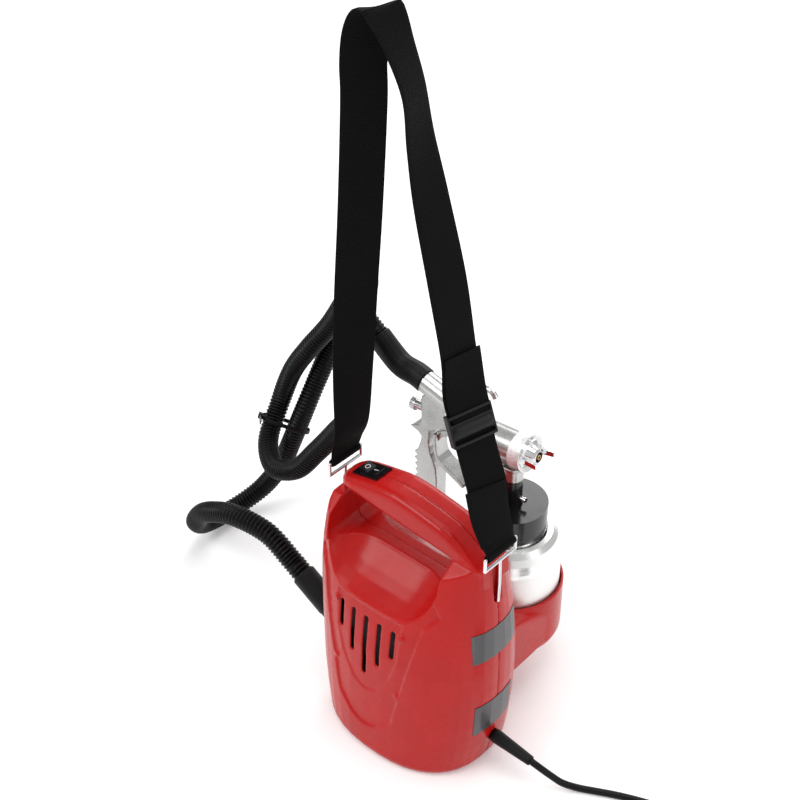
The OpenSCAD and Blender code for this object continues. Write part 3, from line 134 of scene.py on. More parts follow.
def studio():
    mesh = bpy.data.meshes.new("floor")
    r = FLOOR_HALF
    mesh.from_pydata([(-r, -r, 0), (r, -r, 0), (r, r, 0), (-r, r, 0)], [], [(0, 1, 2, 3)])
    floor = bpy.data.objects.new("floor", mesh)
    bpy.context.scene.collection.objects.link(floor)
    mat = new_material("floor_white")
    sh = shader(mat)
    sh.inputs["Roughness"].default_value = 0.8
    n = noise(mat, 3.0, 2)
    sh_color(mat, sh, n, (0.93, 0.93, 0.93), (0.95, 0.95, 0.95))
    # seen straight on or in a mirror the floor is whiter, and it still keeps the object's shadow
    path = node(mat, "ShaderNodeLightPath")
    seen = math_node(mat, "MAXIMUM", path.outputs["Is Camera Ray"], path.outputs["Is Glossy Ray"])
    sh.inputs["Emission Color"].default_value = (1, 1, 1, 1)
    link(mat, math_node(mat, "MULTIPLY", seen, FLOOR_GLOW), sh.inputs["Emission Strength"])
    mesh.materials.append(mat)
    world = bpy.data.worlds.new("world")
    world.use_nodes = True
    sky = world.node_tree.nodes["Background"]
    sky.inputs["Color"].default_value = (1, 1, 1, 1)
    sky.inputs["Strength"].default_value = WORLD_STRENGTH
    bpy.context.scene.world = world
    for lamp in LAMPS:
        area(*lamp)


# ---- materials --------------------------------------------------------------------------
NOISE_ROUGHNESS = 0.55


def new_material(name):
    mat = bpy.data.materials.new(name)
    mat.use_nodes = True
    return mat


def shader(mat):
    return mat.node_tree.nodes["Principled BSDF"]


def node(mat, kind, **values):
    n = mat.node_tree.nodes.new(kind)
    for k, v in values.items():
        setattr(n, k, v)
    return n


def link(mat, a, b):
    mat.node_tree.links.new(a, b)


def coords(mat, scale):
    tc = node(mat, "ShaderNodeTexCoord")
    mp = node(mat, "ShaderNodeMapping")
    mp.inputs["Scale"].default_value = scale
    link(mat, tc.outputs["Object"], mp.inputs["Vector"])
    return mp.outputs["Vector"]


def noise(mat, scale, detail, stretch=(1, 1, 1)):
    n = node(mat, "ShaderNodeTexNoise")
    n.inputs["Scale"].default_value = scale
    n.inputs["Detail"].default_value = detail
    n.inputs["Roughness"].default_value = NOISE_ROUGHNESS
    link(mat, coords(mat, stretch), n.inputs["Vector"])
    return n.outputs["Fac"]


def ramp(mat, value, low, high, lo=0.0, hi=1.0):
    m = node(mat, "ShaderNodeMapRange")
    m.inputs["From Min"].default_value = low
    m.inputs["From Max"].default_value = high
    m.inputs["To Min"].default_value = lo
    m.inputs["To Max"].default_value = hi
    link(mat, value, m.inputs["Value"])
    return m.outputs["Result"]


def math_node(mat, kind, a, b=None):
    m = node(mat, "ShaderNodeMath", operation=kind)
    for i, v in enumerate((a, b)):
        if v is None:
            continue
        if isinstance(v, (int, float)):
            m.inputs[i].default_value = v
        else:
            link(mat, v, m.inputs[i])
    return m.outputs[0]


def mix_color(mat, fac, a, b):
    m = node(mat, "ShaderNodeMix", data_type="RGBA")
    link(mat, fac, m.inputs["Factor"])
    for sock, v in (("A", a), ("B", b)):
        s = [i for i in m.inputs if i.name == sock and i.type == "RGBA"][0]
        if isinstance(v, tuple):
            s.default_value = (*v, 1)
        else:
            link(mat, v, s)
    return [o for o in m.outputs if o.type == "RGBA"][0]


def sh_color(mat, sh, fac, a, b):
    link(mat, mix_color(mat, fac, a, b), sh.inputs["Base Color"])


def bump(mat, sh, height, strength, distance=0.001):
    b = node(mat, "ShaderNodeBump")
    b.inputs["Strength"].default_value = strength
    b.inputs["Distance"].default_value = distance
    link(mat, height, b.inputs["Height"])
    link(mat, b.outputs["Normal"], sh.inputs["Normal"])


def finish_of(name, color, rough, metal=0.0, grain=900.0, grain_depth=0.05, spread=0.08, tone=0.12,
              stretch=(1, 1, 1), big=25.0, level=0.5):
    """A plain finish with slow tone and roughness changes and a fine surface grain."""
    mat = new_material(name)
    sh = shader(mat)
    sh.inputs["Metallic"].default_value = metal
    sh.inputs["Specular IOR Level"].default_value = level
    slow = noise(mat, big, 4)
    fine = noise(mat, grain, 2, stretch)
    darker = tuple(c * (1 - tone) for c in color)
    lighter = tuple(min(1, c * (1 + tone)) for c in color)
    sh_color(mat, sh, ramp(mat, slow, 0.3, 0.7), darker, lighter)
    slow_part = math_node(mat, "MULTIPLY", slow, 0.6)
    fine_part = math_node(mat, "MULTIPLY", fine, 0.4)
    both = math_node(mat, "ADD", slow_part, fine_part)
    worn = ramp(mat, both, 0.3, 0.7, max(0.02, rough - spread), rough + spread)
    link(mat, worn, sh.inputs["Roughness"])
    bump(mat, sh, fine, grain_depth)
    return mat


def set_material(obj, mat):
    obj.data.materials.clear()
    obj.data.materials.append(mat)


# ---- mesh helpers -----------------------------------------------------------------------
CURVE_STEPS = 24
JOIN_DISTANCE = 2e-6


def new_object(name, mesh):
    obj = bpy.data.objects.new(name, mesh)
    bpy.context.scene.collection.objects.link(obj)
    return obj


def smooth(obj, angle=None):
    for p in obj.data.polygons:
        p.use_smooth = True
    if angle is not None:
        obj.data.set_sharp_from_angle(angle=math.radians(angle))


def curve_through(points, step):
    """Even points along a smooth curve through points, with values after the third carried too."""
    p = np.array(points, float)
    n = len(p) - 1
    rows = []
    for i in range(n):
        a = p[i - 1] if i > 0 else 2 * p[0] - p[1]
        b, c = p[i], p[i + 1]
        d = p[i + 2] if i + 2 <= n else 2 * p[n] - p[n - 1]
        for t in np.linspace(0, 1, CURVE_STEPS, endpoint=False):
            rows.append(0.5 * (2 * b + (c - a) * t + (2 * a - 5 * b + 4 * c - d) * t * t
                               + (3 * b - a - 3 * c + d) * t ** 3))
    rows.append(p[n])
    q = np.array(rows)
    s = np.r_[0, np.cumsum(np.linalg.norm(np.diff(q[:, :3], axis=0), axis=1))]
    count = max(2, int(round(s[-1] / step)) + 1)
    at = np.linspace(0, s[-1], count)
    return np.stack([np.interp(at, s, q[:, k]) for k in range(q.shape[1])], 1), s[-1]


def tangents(p, closed=False):
    if closed:
        t = np.roll(p, -1, 0) - np.roll(p, 1, 0)
    else:
        t = np.gradient(p, axis=0)
    return t / np.linalg.norm(t, axis=1)[:, None]


def tube(name, line, radius, sides=16, closed=False, up=(0, 0, 1)):
    """A round tube along line; radius is a number or one for each point."""
    p = np.array(line, float)[:, :3]
    t = tangents(p, closed)
    r = np.broadcast_to(np.asarray(radius, float), (len(p),))
    u = np.array(up, float)
    verts = []
    for i in range(len(p)):
        u = u - u.dot(t[i]) * t[i]
        u = u / np.linalg.norm(u)
        w = np.cross(t[i], u)
        for k in range(sides):
            a = 2 * math.pi * k / sides
            verts.append(p[i] + r[i] * (math.cos(a) * u + math.sin(a) * w))
    faces = []
    n = len(p)
    for i in range(n if closed else n - 1):
        j = (i + 1) % n
        for k in range(sides):
            m = (k + 1) % sides
            faces.append((i * sides + k, i * sides + m, j * sides + m, j * sides + k))
    if not closed:
        faces.append(tuple(range(sides - 1, -1, -1)))
        faces.append(tuple((n - 1) * sides + k for k in range(sides)))
    mesh = bpy.data.meshes.new(name)
    mesh.from_pydata([tuple(v) for v in verts], [], faces)
    obj = new_object(name, mesh)
    smooth(obj, 50)
    return obj


def copy_of(name, node_name):
    """An editable mesh of this CAD node, with its points joined."""
    bm = bmesh.new()
    bm.from_mesh(NODES[node_name].data)
    bmesh.ops.remove_doubles(bm, verts=bm.verts, dist=JOIN_DISTANCE)
    mesh = bpy.data.meshes.new(name)
    bm.to_mesh(mesh)
    bm.free()
    return new_object(name, mesh)


def applied(obj):
    """obj with its modifiers turned into mesh."""
    bpy.context.view_layer.update()
    done = obj.evaluated_get(bpy.context.evaluated_depsgraph_get())
    mesh = bpy.data.meshes.new_from_object(done)
    obj.modifiers.clear()
    obj.data = mesh
    return obj


def softened(name, node_name, voxel, rounds):
    """A CAD node remade with soft edges."""
    obj = copy_of(name, node_name)
    m = obj.modifiers.new("grid", "REMESH")
    m.mode = "VOXEL"
    m.voxel_size = voxel
    s = obj.modifiers.new("soft", "SMOOTH")
    s.factor = 0.5
    s.iterations = rounds
    applied(obj)
    smooth(obj)
    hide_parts(node_name)
    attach(obj, body_of(NODES[node_name])[0])
    return obj


# ---- finishes ---------------------------------------------------------------------------
# spacing of the webbing's cross ribs and warp lines, in metres
WEAVE_RIB = 0.0019
WEAVE_WARP = 0.0013
# levels between which the can's bright shoulder turns into its matt wall
CAN_BRIGHT_Z = 0.1535
CAN_MATT_Z = 0.1515
FINISHES = {
    "red_shell": dict(color=(0.46, 0.008, 0.007), rough=0.26, grain=1500, grain_depth=0.03, tone=0.05,
                      level=0.25),
    "zinc_steel": dict(color=(0.55, 0.55, 0.54), rough=0.35, metal=1, tone=0.15),
    "grey_plate": dict(color=(0.10, 0.10, 0.104), rough=0.38, metal=0.6, stretch=(1, 0.05, 1), grain=1200),
    "black_gloss": dict(color=(0.006, 0.006, 0.007), rough=0.16, grain_depth=0.02, spread=0.04, big=60),
    "lead_wire": dict(color=(0.02, 0.03, 0.12), rough=0.45),
    "core_steel": dict(color=(0.22, 0.22, 0.23), rough=0.5, metal=1, stretch=(0.05, 0.05, 1.5), grain=1200,
                       grain_depth=0.3),
    "copper": dict(color=(0.6, 0.27, 0.12), rough=0.35, metal=1, grain_depth=0.2),
    "cast_frame": dict(color=(0.5, 0.51, 0.52), rough=0.48, metal=1),
    "brass": dict(color=(0.50, 0.33, 0.15), rough=0.3, metal=1),
    "carbon": dict(color=(0.03, 0.03, 0.03), rough=0.6),
    "bright_steel": dict(color=(0.72, 0.72, 0.73), rough=0.16, metal=1, grain_depth=0.02, spread=0.05),
    "dark_plastic": dict(color=(0.004, 0.004, 0.0044), rough=0.38, level=0.2),
    "black_rubber": dict(color=(0.004, 0.004, 0.0044), rough=0.42, grain=1300, grain_depth=0.05, level=0.18),
    "foam": dict(color=(0.04, 0.04, 0.042), rough=0.95, grain=500, grain_depth=0.9),
    "hose_plastic": dict(color=(0.003, 0.003, 0.0033), rough=0.3, grain_depth=0.03, spread=0.06, big=40,
                         level=0.15),
    "cast_aluminium": dict(color=(0.50, 0.50, 0.49), rough=0.28, metal=1, grain=1100, grain_depth=0.02,
                           spread=0.05, big=40),
    "chrome": dict(color=(0.82, 0.82, 0.83), rough=0.1, metal=1, grain_depth=0.01, spread=0.05),
    "can_tube": dict(color=(0.7, 0.7, 0.71), rough=0.25, metal=1),
    "mark_white": dict(color=(0.7, 0.7, 0.7), rough=0.5),
}


def web_material():
    """Woven webbing: cross ribs along the strap and fine warp lines across it; UV is in metres."""
    mat = new_material("webbing")
    sh = shader(mat)
    sh.inputs["Sheen Weight"].default_value = 0.02
    sh.inputs["Specular IOR Level"].default_value = 0.05
    sh.inputs["Sheen Roughness"].default_value = 0.4
    uv = node(mat, "ShaderNodeTexCoord").outputs["UV"]
    split = node(mat, "ShaderNodeSeparateXYZ")
    link(mat, uv, split.inputs[0])
    across, along = split.outputs[0], split.outputs[1]
    ribs = math_node(mat, "SINE", math_node(mat, "MULTIPLY", along, 2 * math.pi / WEAVE_RIB))
    warp = math_node(mat, "SINE", math_node(mat, "MULTIPLY", across, 2 * math.pi / WEAVE_WARP))
    crossing = math_node(mat, "MULTIPLY", math_node(mat, "MULTIPLY", warp, ribs), 0.5)
    height = math_node(mat, "ADD", ribs, crossing)
    fuzz = noise(mat, 1400, 2)
    slow = noise(mat, 18, 3)
    height = math_node(mat, "ADD", height, math_node(mat, "MULTIPLY", fuzz, 0.8))
    # base colour darker where the weave lies low: painted shade in its hollows, with a slow random tone
    # added on top
    tone = math_node(mat, "ADD", ramp(mat, height, -1.2, 1.8, 0, 0.8), math_node(mat, "MULTIPLY", slow, 0.3))
    sh_color(mat, sh, tone, (0.001, 0.001, 0.001), (0.008, 0.008, 0.008))
    link(mat, ramp(mat, fuzz, 0.3, 0.7, 0.62, 0.8), sh.inputs["Roughness"])
    bump(mat, sh, height, 0.35, 0.0004)
    return mat


def can_material():
    """Bright shoulder over a wall with a fine brushed matt finish."""
    mat = new_material("polished_can")
    sh = shader(mat)
    sh.inputs["Metallic"].default_value = 1
    tc = node(mat, "ShaderNodeTexCoord")
    split = node(mat, "ShaderNodeSeparateXYZ")
    link(mat, tc.outputs["Object"], split.inputs[0])
    level = split.outputs[2]
    wall = ramp(mat, level, CAN_BRIGHT_Z, CAN_MATT_Z)
    hoops = noise(mat, 260, 2, (0.06, 0.06, 4))
    fine = noise(mat, 700, 2)
    sh_color(mat, sh, wall, (0.80, 0.80, 0.79), (0.88, 0.88, 0.87))
    matt = ramp(mat, hoops, 0.3, 0.7, 0.42, 0.56)
    bright = ramp(mat, hoops, 0.3, 0.7, 0.2, 0.28)
    m = node(mat, "ShaderNodeMix", data_type="FLOAT")
    link(mat, wall, m.inputs["Factor"])
    link(mat, bright, m.inputs[2])
    link(mat, matt, m.inputs[3])
    link(mat, m.outputs[0], sh.inputs["Roughness"])
    bump(mat, sh, math_node(mat, "ADD", hoops, math_node(mat, "MULTIPLY", fine, 0.3)), 0.05, 0.0004)
    return mat


def knurl_material():
    mat = new_material("knurled_ring")
    sh = shader(mat)
    sh.inputs["Metallic"].default_value = 1
    n = noise(mat, 500, 2)
    sh_color(mat, sh, n, (0.8, 0.8, 0.79), (0.93, 0.93, 0.92))
    link(mat, ramp(mat, n, 0.3, 0.7, 0.38, 0.52), sh.inputs["Roughness"])
    bump(mat, sh, n, 0.1, 0.0004)
    return mat


def finishes():
    made = {name: finish_of(name, **values) for name, values in FINISHES.items()}
    made["webbing"] = web_material()
    made["knurled_ring"] = knurl_material()
    made["polished_can"] = can_material()
    return made


# ---- hose, lead and strap ---------------------------------------------------------------
# where the hose leaves the case and where it joins the gun, with the direction at each
OUT = Vector((-0.103, -0.010, 0.079))
OUT_DIR = Vector((-math.sin(math.radians(60)), 0, 0.5))
JOINT = Vector((-0.170, 0.131, 0.335))
JOINT_DIR = Vector((-30, 0, 21)).normalized()
HOSE_D = 0.024
RIB_PITCH = 0.0044
RIB_DEPTH = 0.0016
RINGS_PER_RIB = 6
# levels between which the hose stretches as the gun is lifted
STRETCH_FROM = 0.15
STRETCH_TO = 0.33
HOSE_RUN = [
    (-0.203, -0.013, 0.139), (-0.248, -0.018, 0.141), (-0.289, -0.014, 0.120), (-0.322, -0.003, 0.091),
    (-0.349, 0.010, 0.056), (-0.367, 0.038, 0.025), (-0.369, 0.082, 0.017), (-0.354, 0.120, 0.036),
    (-0.334, 0.135, 0.074), (-0.316, 0.137, 0.117), (-0.304, 0.147, 0.160), (-0.299, 0.168, 0.201),
    (-0.290, 0.184, 0.242), (-0.272, 0.196, 0.283), (-0.249, 0.195, 0.322), (-0.227, 0.176, 0.358),
    (-0.206, 0.142, 0.380), (-0.179, 0.106, 0.380), (-0.156, 0.079, 0.352), (-0.151, 0.071, 0.308),
    (-0.163, 0.077, 0.264), (-0.189, 0.081, 0.226), (-0.215, 0.078, 0.189), (-0.243, 0.073, 0.153),
    (-0.283, 0.077, 0.133), (-0.319, 0.103, 0.137), (-0.332, 0.136, 0.164), (-0.324, 0.151, 0.206),
    (-0.301, 0.156, 0.245), (-0.276, 0.166, 0.283), (-0.253, 0.167, 0.322), (-0.229, 0.151, 0.344),
    (-0.207, 0.137, 0.350),
]


def hose():
    start = [tuple(OUT + OUT_DIR * d) for d in (0.0582, 0.068, 0.078)]
    end = [tuple(JOINT + JOINT_DIR * d) for d in (0.020, 0.010, 0.0002)]
    line, length = curve_through(start + HOSE_RUN + end, RIB_PITCH / RINGS_PER_RIB)
    s = np.linspace(0, length, len(line))
    wave = 0.5 + 0.5 * np.cos(2 * math.pi * s / RIB_PITCH)
    radius = HOSE_D / 2 - RIB_DEPTH + RIB_DEPTH * wave ** 0.6
    obj = tube("hose", line, radius, 24, up=(0, 1, 0))
    set_material(obj, F["hose_plastic"])
    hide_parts("air_hose")
    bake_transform(obj, "case", "gun", start=(0, 0, STRETCH_FROM), end=(0, 0, STRETCH_TO))


LEAD_RUN = [
    (0.142, 0.0034, 0.0314), (0.147, 0.003, 0.031), (0.157, 0.005, 0.027), (0.166, 0.010, 0.019),
    (0.177, 0.017, 0.0095), (0.190, 0.026, 0.0044), (0.206, 0.035, 0.0038), (0.223, 0.044, 0.0038),
    (0.243, 0.053, 0.0038), (0.263, 0.060, 0.0038), (0.286, 0.064, 0.0038),
]
LEAD_D = 0.0072
LEAD_Z = 0.0038
PLUG_Z = 0.019
COIL_AT = (0.308, 0.013)
COIL_R = 0.051
COIL_STEP = 0.0078
COIL_TURNS = 2.375
COIL_DIP = 0.0014
COIL_POINTS = 24
# distance past the coil, and share of the rise to the plug, of the last points
TAIL = [(0.012, 0.1), (0.022, 0.35), (0.032, 0.75), (0.043, 1), (0.056, 1)]


def coil_point(t):
    """Point of the coil after t turns: in along the lower layer, up in half a turn, out again."""
    climb = max(0, min(1, (t - COIL_TURNS) * 2))
    turns_in = min(t, COIL_TURNS) - max(0, t - COIL_TURNS - 0.5)
    a = math.pi / 2 - 2 * math.pi * t
    r = COIL_R - COIL_STEP * turns_in - COIL_DIP * math.sin(math.pi * climb)
    return (COIL_AT[0] + r * math.cos(a), COIL_AT[1] + r * math.sin(a), LEAD_Z + COIL_STEP * climb)


def lead():
    turns = 2 * COIL_TURNS + 0.5
    coil = [coil_point(i / COIL_POINTS) for i in range(int(turns * COIL_POINTS) + 1)]
    last = coil[-1]
    tail = [(last[0], last[1] - d, last[2] + w * (PLUG_Z - last[2])) for d, w in TAIL]
    line, length = curve_through(LEAD_RUN + coil + tail, 0.003)
    obj = tube("mains_lead", line, LEAD_D / 2, 16, up=(0, 0, 1))
    set_material(obj, F["black_rubber"])
    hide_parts("power_cord", "cord_coil")
    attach(obj, "case")


STRAP_W = 0.039
STRAP_T = 0.002
WEB_STEP = 0.004
# the webbing's loop round a hook: its level and radius
LOOP_Z = 0.290
LOOP_R = 0.0031
# x, y and z of the strap in millimetres, and the angle of its width from +X
STRAP_RUN = [
    (-100, 4, 292.7, 90), (-97, 4, 306, 85), (-89, 3, 335, 75), (-84, 1, 400, 60), (-78, 0, 481, 46),
    (-70, 0, 580, 44), (-64, 0, 678, 44), (-64, 0, 712, 47), (-61, 0, 738, 52), (-54, 0, 757, 60),
    (-45, 0, 765, 70), (-36, 0, 757, 85), (-25, 0, 738, 98), (-10, 0, 705, 104), (-2.5, 0, 664, 97),
    (9.5, 0, 614, 84), (29, -1, 545, 76), (44, -2, 480, 80), (50, -2, 440, 68), (60, -2, 412, 68),
    (69, -2, 385, 68), (81, -3, 355, 66), (87, -3, 325, 74), (96, -3, 302, 84), (100, -3, 292.7, 90),
]
# point of the route that the buckle sits on
BUCKLE_I = 19
# points of the route under the sewn end of the strap
SEWN_I = (21, 22, 23)


def ribbon(name, line, width, thick, cols=14):
    """Flat webbing along rows of x, y, z, angle of its width from +X in degrees; UV in metres."""
    p = line[:, :3]
    t = tangents(p)
    s = np.r_[0, np.cumsum(np.linalg.norm(np.diff(p, axis=0), axis=1))]
    outline = []
    for k in range(cols + 1):
        outline.append((-1 + 2 * k / cols, 1))
    for k in range(cols + 1):
        outline.append((1 - 2 * k / cols, -1))
    verts, uvs = [], []
    for i in range(len(p)):
        a = math.radians(line[i, 3])
        w = np.array((math.cos(a), math.sin(a), 0))
        w = w - w.dot(t[i]) * t[i]
        w /= np.linalg.norm(w)
        m = np.cross(t[i], w)
        for x, side in outline:
            round_off = 1 - 0.5 * max(0, (abs(x) - 0.9) / 0.1) ** 2
            verts.append(p[i] + w * x * width / 2 + m * (side * thick / 2 * round_off))
            uvs.append((x * width / 2, s[i]))
    n = len(outline)
    faces = []
    for i in range(len(p) - 1):
        for k in range(n):
            m = (k + 1) % n
            faces.append((i * n + k, i * n + m, (i + 1) * n + m, (i + 1) * n + k))
    faces.append(tuple(range(n - 1, -1, -1)))
    faces.append(tuple((len(p) - 1) * n + k for k in range(n)))
    mesh = bpy.data.meshes.new(name)
    mesh.from_pydata([tuple(v) for v in verts], [], faces)
    layer = mesh.uv_layers.new(name="weave")
    for loop in mesh.loops:
        layer.data[loop.index].uv = uvs[loop.vertex_index]
    obj = new_object(name, mesh)
    smooth(obj, 40)
    return obj


def strap():
    run = np.array([(x / 1000, y / 1000, z / 1000, a) for x, y, z, a in STRAP_RUN])
    line, _ = curve_through(run, WEB_STEP)
    obj = ribbon("strap", line, STRAP_W, STRAP_T)
    set_material(obj, F["webbing"])
    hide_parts("shoulder_strap")
    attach(obj, "case")
    for end in (line[0], line[-1]):
        loop = [(end[0] + LOOP_R * math.cos(a), end[1], LOOP_Z + LOOP_R * math.sin(a), 90)
                for a in np.linspace(math.radians(100), math.radians(440), 24)]
        side = "near" if end[0] > 0 else "far"
        piece = ribbon("strap_end_" + side, np.array(loop), STRAP_W, STRAP_T)
        set_material(piece, F["webbing"])
        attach(piece, "case")


TO_CAMERA = (0.6, -0.7, 0.4)
# crossbar of the buckle, in metres
BAR_W = 0.040
BAR_H = 0.0148
BAR_BULGE = 0.0022
BAR_T = 0.0022
BAR_LIFT = 0.0030
# how far the extra layers lie off the strap and to its side
FOLD_LIFT = 0.0026
FOLD_SHIFT = 0.0022
TAB_LIFT = 0.0022
TAB_SHIFT = 0.002
# flat band round the coil
TIE_W = 0.008
TIE_T = 0.0008
TIE_ROOM = 0.0052
TIE_HALF_Z = 0.0081


def strap_frame(row, after):
    """Along, across and outward directions of the strap at a row of its route."""
    a, b = np.array(row[:3], float), np.array(after[:3], float)
    t = (b - a) / np.linalg.norm(b - a)
    w = np.array((math.cos(math.radians(row[3])), math.sin(math.radians(row[3])), 0))
    w = w - w.dot(t) * t
    w /= np.linalg.norm(w)
    n = np.cross(t, w)
    return t, w, n if n.dot(TO_CAMERA) > 0 else -n


def panel(name, at, across, along, out, width, height, bulge, thick, material):
    """A curved plate with rounded ends: bulges outwards across its height."""
    rows, cols = 14, 24
    verts, faces = [], []
    for side in (1, -1):
        for i in range(rows + 1):
            for k in range(cols + 1):
                u, v = -1 + 2 * k / cols, -1 + 2 * i / rows
                edge = max(abs(u) ** 8, abs(v) ** 6)
                d = bulge * (1 - v * v) + side * thick / 2 * math.sqrt(max(0.0, 1 - edge))
                verts.append(at + across * (u * width / 2) + along * (v * height / 2) + out * d)
    n = (rows + 1) * (cols + 1)
    for i in range(rows):
        for k in range(cols):
            here = i * (cols + 1) + k
            above = here + cols + 1
            q = (here, here + 1, above + 1, above)
            faces.append(q)
            faces.append(tuple(n + j for j in reversed(q)))
    mesh = bpy.data.meshes.new(name)
    mesh.from_pydata([tuple(v) for v in verts], [], faces)
    bm = bmesh.new()
    bm.from_mesh(mesh)
    bmesh.ops.remove_doubles(bm, verts=bm.verts, dist=1e-6)
    bmesh.ops.recalc_face_normals(bm, faces=bm.faces)
    bm.to_mesh(mesh)
    bm.free()
    obj = new_object(name, mesh)
    smooth(obj, 50)
    set_material(obj, material)
    return obj


def strap_details():
    rows = [(x / 1000, y / 1000, z / 1000, a) for x, y, z, a in STRAP_RUN]
    at = rows[BUCKLE_I]
    t, w, n = strap_frame(at, rows[BUCKLE_I + 1])
    middle = np.array(at[:3]) + n * BAR_LIFT
    bar = panel("buckle_bar", middle, w, t, n, BAR_W, BAR_H, BAR_BULGE, BAR_T, F["dark_plastic"])
    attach(bar, "case")
    # free end of the webbing, folded back up over the strap above the buckle
    over = []
    for i in (BUCKLE_I, BUCKLE_I - 1, BUCKLE_I - 2):
        _, wi, ni = strap_frame(rows[i], rows[i + 1])
        p = np.array(rows[i][:3]) + ni * FOLD_LIFT + wi * FOLD_SHIFT
        over.append((*p, rows[i][3]))
    line, _ = curve_through(np.array(over), WEB_STEP)
    back = ribbon("strap_fold", line, STRAP_W, STRAP_T)
    # sewn tab at the lower end of the front side
    low = []
    for i in SEWN_I:
        _, wi, ni = strap_frame(rows[i], rows[i + 1])
        p = np.array(rows[i][:3]) + ni * TAB_LIFT - wi * TAB_SHIFT
        low.append((*p, rows[i][3]))
    line, _ = curve_through(np.array(low), WEB_STEP)
    tab = ribbon("strap_tab", line, STRAP_W + 0.002, STRAP_T)
    for piece in (back, tab):
        set_material(piece, F["webbing"])
        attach(piece, "case")


def coil_tie():
    """Flat band round the coil's turns, on the side away from the case."""
    mid = COIL_R - 0.5 * COIL_STEP * COIL_TURNS
    half_r = 0.5 * COIL_STEP * COIL_TURNS + TIE_ROOM
    centre_z = TIE_T / 2 + TIE_HALF_Z
    rows = []
    for a in np.linspace(0, 2 * math.pi, 49):
        c, q = math.cos(a), math.sin(a)
        x = half_r * math.copysign(abs(c) ** 0.6, c)
        z = TIE_HALF_Z * math.copysign(abs(q) ** 0.6, q)
        rows.append((COIL_AT[0] + mid + x, COIL_AT[1], centre_z + z, 90))
    obj = ribbon("coil_tie", np.array(rows), TIE_W, TIE_T)
    set_material(obj, F["dark_plastic"])
    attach(obj, "case")


# ---- turned and knurled parts of the gun ------------------------------------------------
# a point of the barrel's axis and its tilt; places along it are in millimetres from that point
BARREL_AT = Vector((0.0115, 0.131, 0.283))
BARREL_TILT = math.radians(4.5)
THREAD_PITCH = 1.5
POINTS_PER_TOOTH = 6
# lean of the knurl's lines, in radians for each millimetre along the axis
KNURL_LEAN = 1.6
RING_SIDES = 384
KNOB_SIDES = 192


def turned(name, node_name, profile, sides, closed):
    """Part turned on the barrel's axis from rows of place, radius and relief (0, knurl or thread)."""
    m = Matrix.Translation(BARREL_AT) @ Matrix.Rotation(-BARREL_TILT, 4, "Y")
    teeth = sides / POINTS_PER_TOOTH
    verts, faces = [], []
    for x, radius, relief, depth in profile:
        for k in range(sides):
            a = 2 * math.pi * k / sides
            if relief == "knurl":
                one_way = abs(math.sin(teeth * a / 2 + x * KNURL_LEAN))
                other_way = abs(math.sin(teeth * a / 2 - x * KNURL_LEAN))
                cut = (one_way + other_way) / 2
                q = radius - depth * (1 - cut)
            elif relief == "thread":
                turn = (x / THREAD_PITCH - k / sides) % 1
                q = radius - depth * (1 - abs(2 * turn - 1))
            else:
                q = radius
            verts.append(m @ Vector((x / 1000, q * math.sin(a) / 1000, q * math.cos(a) / 1000)))
    rows = len(profile)
    for i in range(rows if closed else rows - 1):
        j = (i + 1) % rows
        for k in range(sides):
            b = (k + 1) % sides
            faces.append((i * sides + k, j * sides + k, j * sides + b, i * sides + b))
    if not closed:
        faces.append(tuple(range(sides)))
        faces.append(tuple((rows - 1) * sides + k for k in reversed(range(sides))))
    mesh = bpy.data.meshes.new(name)
    mesh.from_pydata([tuple(v) for v in verts], [], faces)
    bm = bmesh.new()
    bm.from_mesh(mesh)
    bmesh.ops.recalc_face_normals(bm, faces=bm.faces)
    bm.to_mesh(mesh)
    bm.free()
    obj = new_object(name, mesh)
    smooth(obj, 35)
    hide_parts(node_name)
    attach(obj, body_of(NODES[node_name])[0])
    return obj


def knurled(x0, x1, radius, relief, depth, step):
    return [(x, radius, relief, depth) for x in np.arange(x0, x1, step)]


def gun_turnings():
    ring = ([(5.5, 17.1, "", 0), (5.5, 20.2, "", 0), (6.0, 20.6, "", 0)]
            + knurled(6.3, 16.4, 20.75, "knurl", 0.45, 0.33)
            + [(16.7, 20.6, "", 0), (19.6, 20.6, "", 0), (20, 20.3, "", 0), (20, 19.65, "", 0),
               (17, 15.6, "", 0), (15.8, 15.6, "", 0), (15.8, 17.1, "", 0)])
    set_material(turned("knurled_ring", "retaining_ring", ring, RING_SIDES, True), F["knurled_ring"])
    knob = ([(-134.5, 6.4, "", 0), (-134.0, 7.0, "", 0)] + knurled(-133.7, -128.7, 7.3, "knurl", 0.4, 0.3)
            + [(-128.4, 7.0, "", 0), (-128.2, 6.4, "", 0), (-128.2, 5, "", 0)]
            + knurled(-128.1, -116.1, 5, "thread", 0.5, 0.19) + [(-116, 4, "", 0), (-101.3, 4, "", 0)])
    set_material(turned("flow_control_knob", "flow_knob", knob, KNOB_SIDES, False), F["bright_steel"])


# ---- switch marks -----------------------------------------------------------------------
# middle of the switch on the handle's crown, the crown's fall there, and the rocker at rest
SWITCH_AT = (-0.060, 0, 0.292572)
CROWN_FALL = 0.238
ROCKER_SINK = 0.0005
ROCKER_REST = math.radians(7)
# each half of the rocker's face rises 1.8 mm over 10.1 mm
FACE_SLOPE = math.atan2(1.8, 10.1)
MARK_X = 0.0055
MARK_Z = 0.00445
OFF_HALF_X = 0.0021
OFF_HALF_Y = 0.0029
ON_HALF = 0.0028
OFF_LINE = 0.00038
ON_LINE = 0.0004


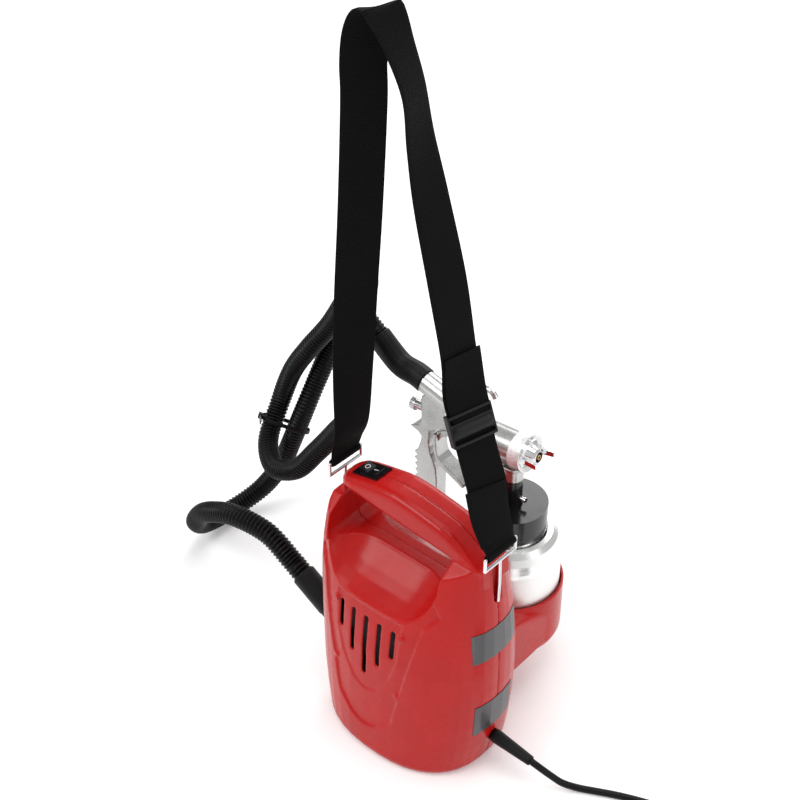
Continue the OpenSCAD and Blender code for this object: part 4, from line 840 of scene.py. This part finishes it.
def at_switch():
    lean = Matrix.Rotation(-math.atan(CROWN_FALL), 4, "Y")
    rest = Matrix.Rotation(ROCKER_REST, 4, "Y")
    return Matrix.Translation(SWITCH_AT) @ lean @ Matrix.Translation((0, 0, -ROCKER_SINK)) @ rest


def mark_place(side):
    shift = Matrix.Translation((side * MARK_X, 0, MARK_Z))
    return at_switch() @ shift @ Matrix.Rotation(-side * FACE_SLOPE, 4, "Y")


def marks():
    turn = np.linspace(0, 2 * math.pi, 40, endpoint=False)
    ring = [(OFF_HALF_X * math.cos(a), OFF_HALF_Y * math.sin(a), 0) for a in turn]
    o = tube("mark_off", ring, OFF_LINE, 8, closed=True)
    o.data.transform(mark_place(-1))
    i = tube("mark_on", [(-ON_HALF, 0, 0), (0, 0, 0), (ON_HALF, 0, 0)], ON_LINE, 8, up=(0, 1, 0))
    i.data.transform(mark_place(1))
    for m in (o, i):
        set_material(m, F["mark_white"])
        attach(m, "rocker")


# ---- the object -------------------------------------------------------------------------
SHARP_ANGLE = 32
CASE_VOXEL = 0.0010
CASE_ROUNDS = 12
CASTING_ROUNDS = 6
CASE_PIECES = [("case_near", "vent_side_shell"), ("case_far", "holder_side_shell")]
# name, CAD node and voxel size of the other pieces with soft edges
SOFT_PIECES = [
    ("hose_cuff_gun", "gun_cuff", 0.0007), ("hose_cuff_case", "case_cuff", 0.0008),
    ("lead_grip", "cord_grip", 0.0006), ("plug_form", "plug_body", 0.0007),
    ("strap_slider", "strap_buckle", 0.0006), ("hose_tie", "cable_tie", 0.0004),
    ("gun_casting", "gun_body", 0.0006), ("trigger_casting", "trigger", 0.0004),
]

make_camera()
studio()
F = finishes()
SLOT_OF = {s["node"]: s["material_slot"] for s in frame["record"]["subparts"]}
for name, obj in NODES.items():
    set_material(obj, F[SLOT_OF[name]])
    smooth(obj, SHARP_ANGLE)
hose()
lead()
strap()
strap_details()
coil_tie()
gun_turnings()
marks()
for name, node_name in CASE_PIECES:
    set_material(softened(name, node_name, CASE_VOXEL, CASE_ROUNDS), F["red_shell"])
for name, node_name, voxel in SOFT_PIECES:
    set_material(softened(name, node_name, voxel, CASTING_ROUNDS), F[SLOT_OF[node_name]])
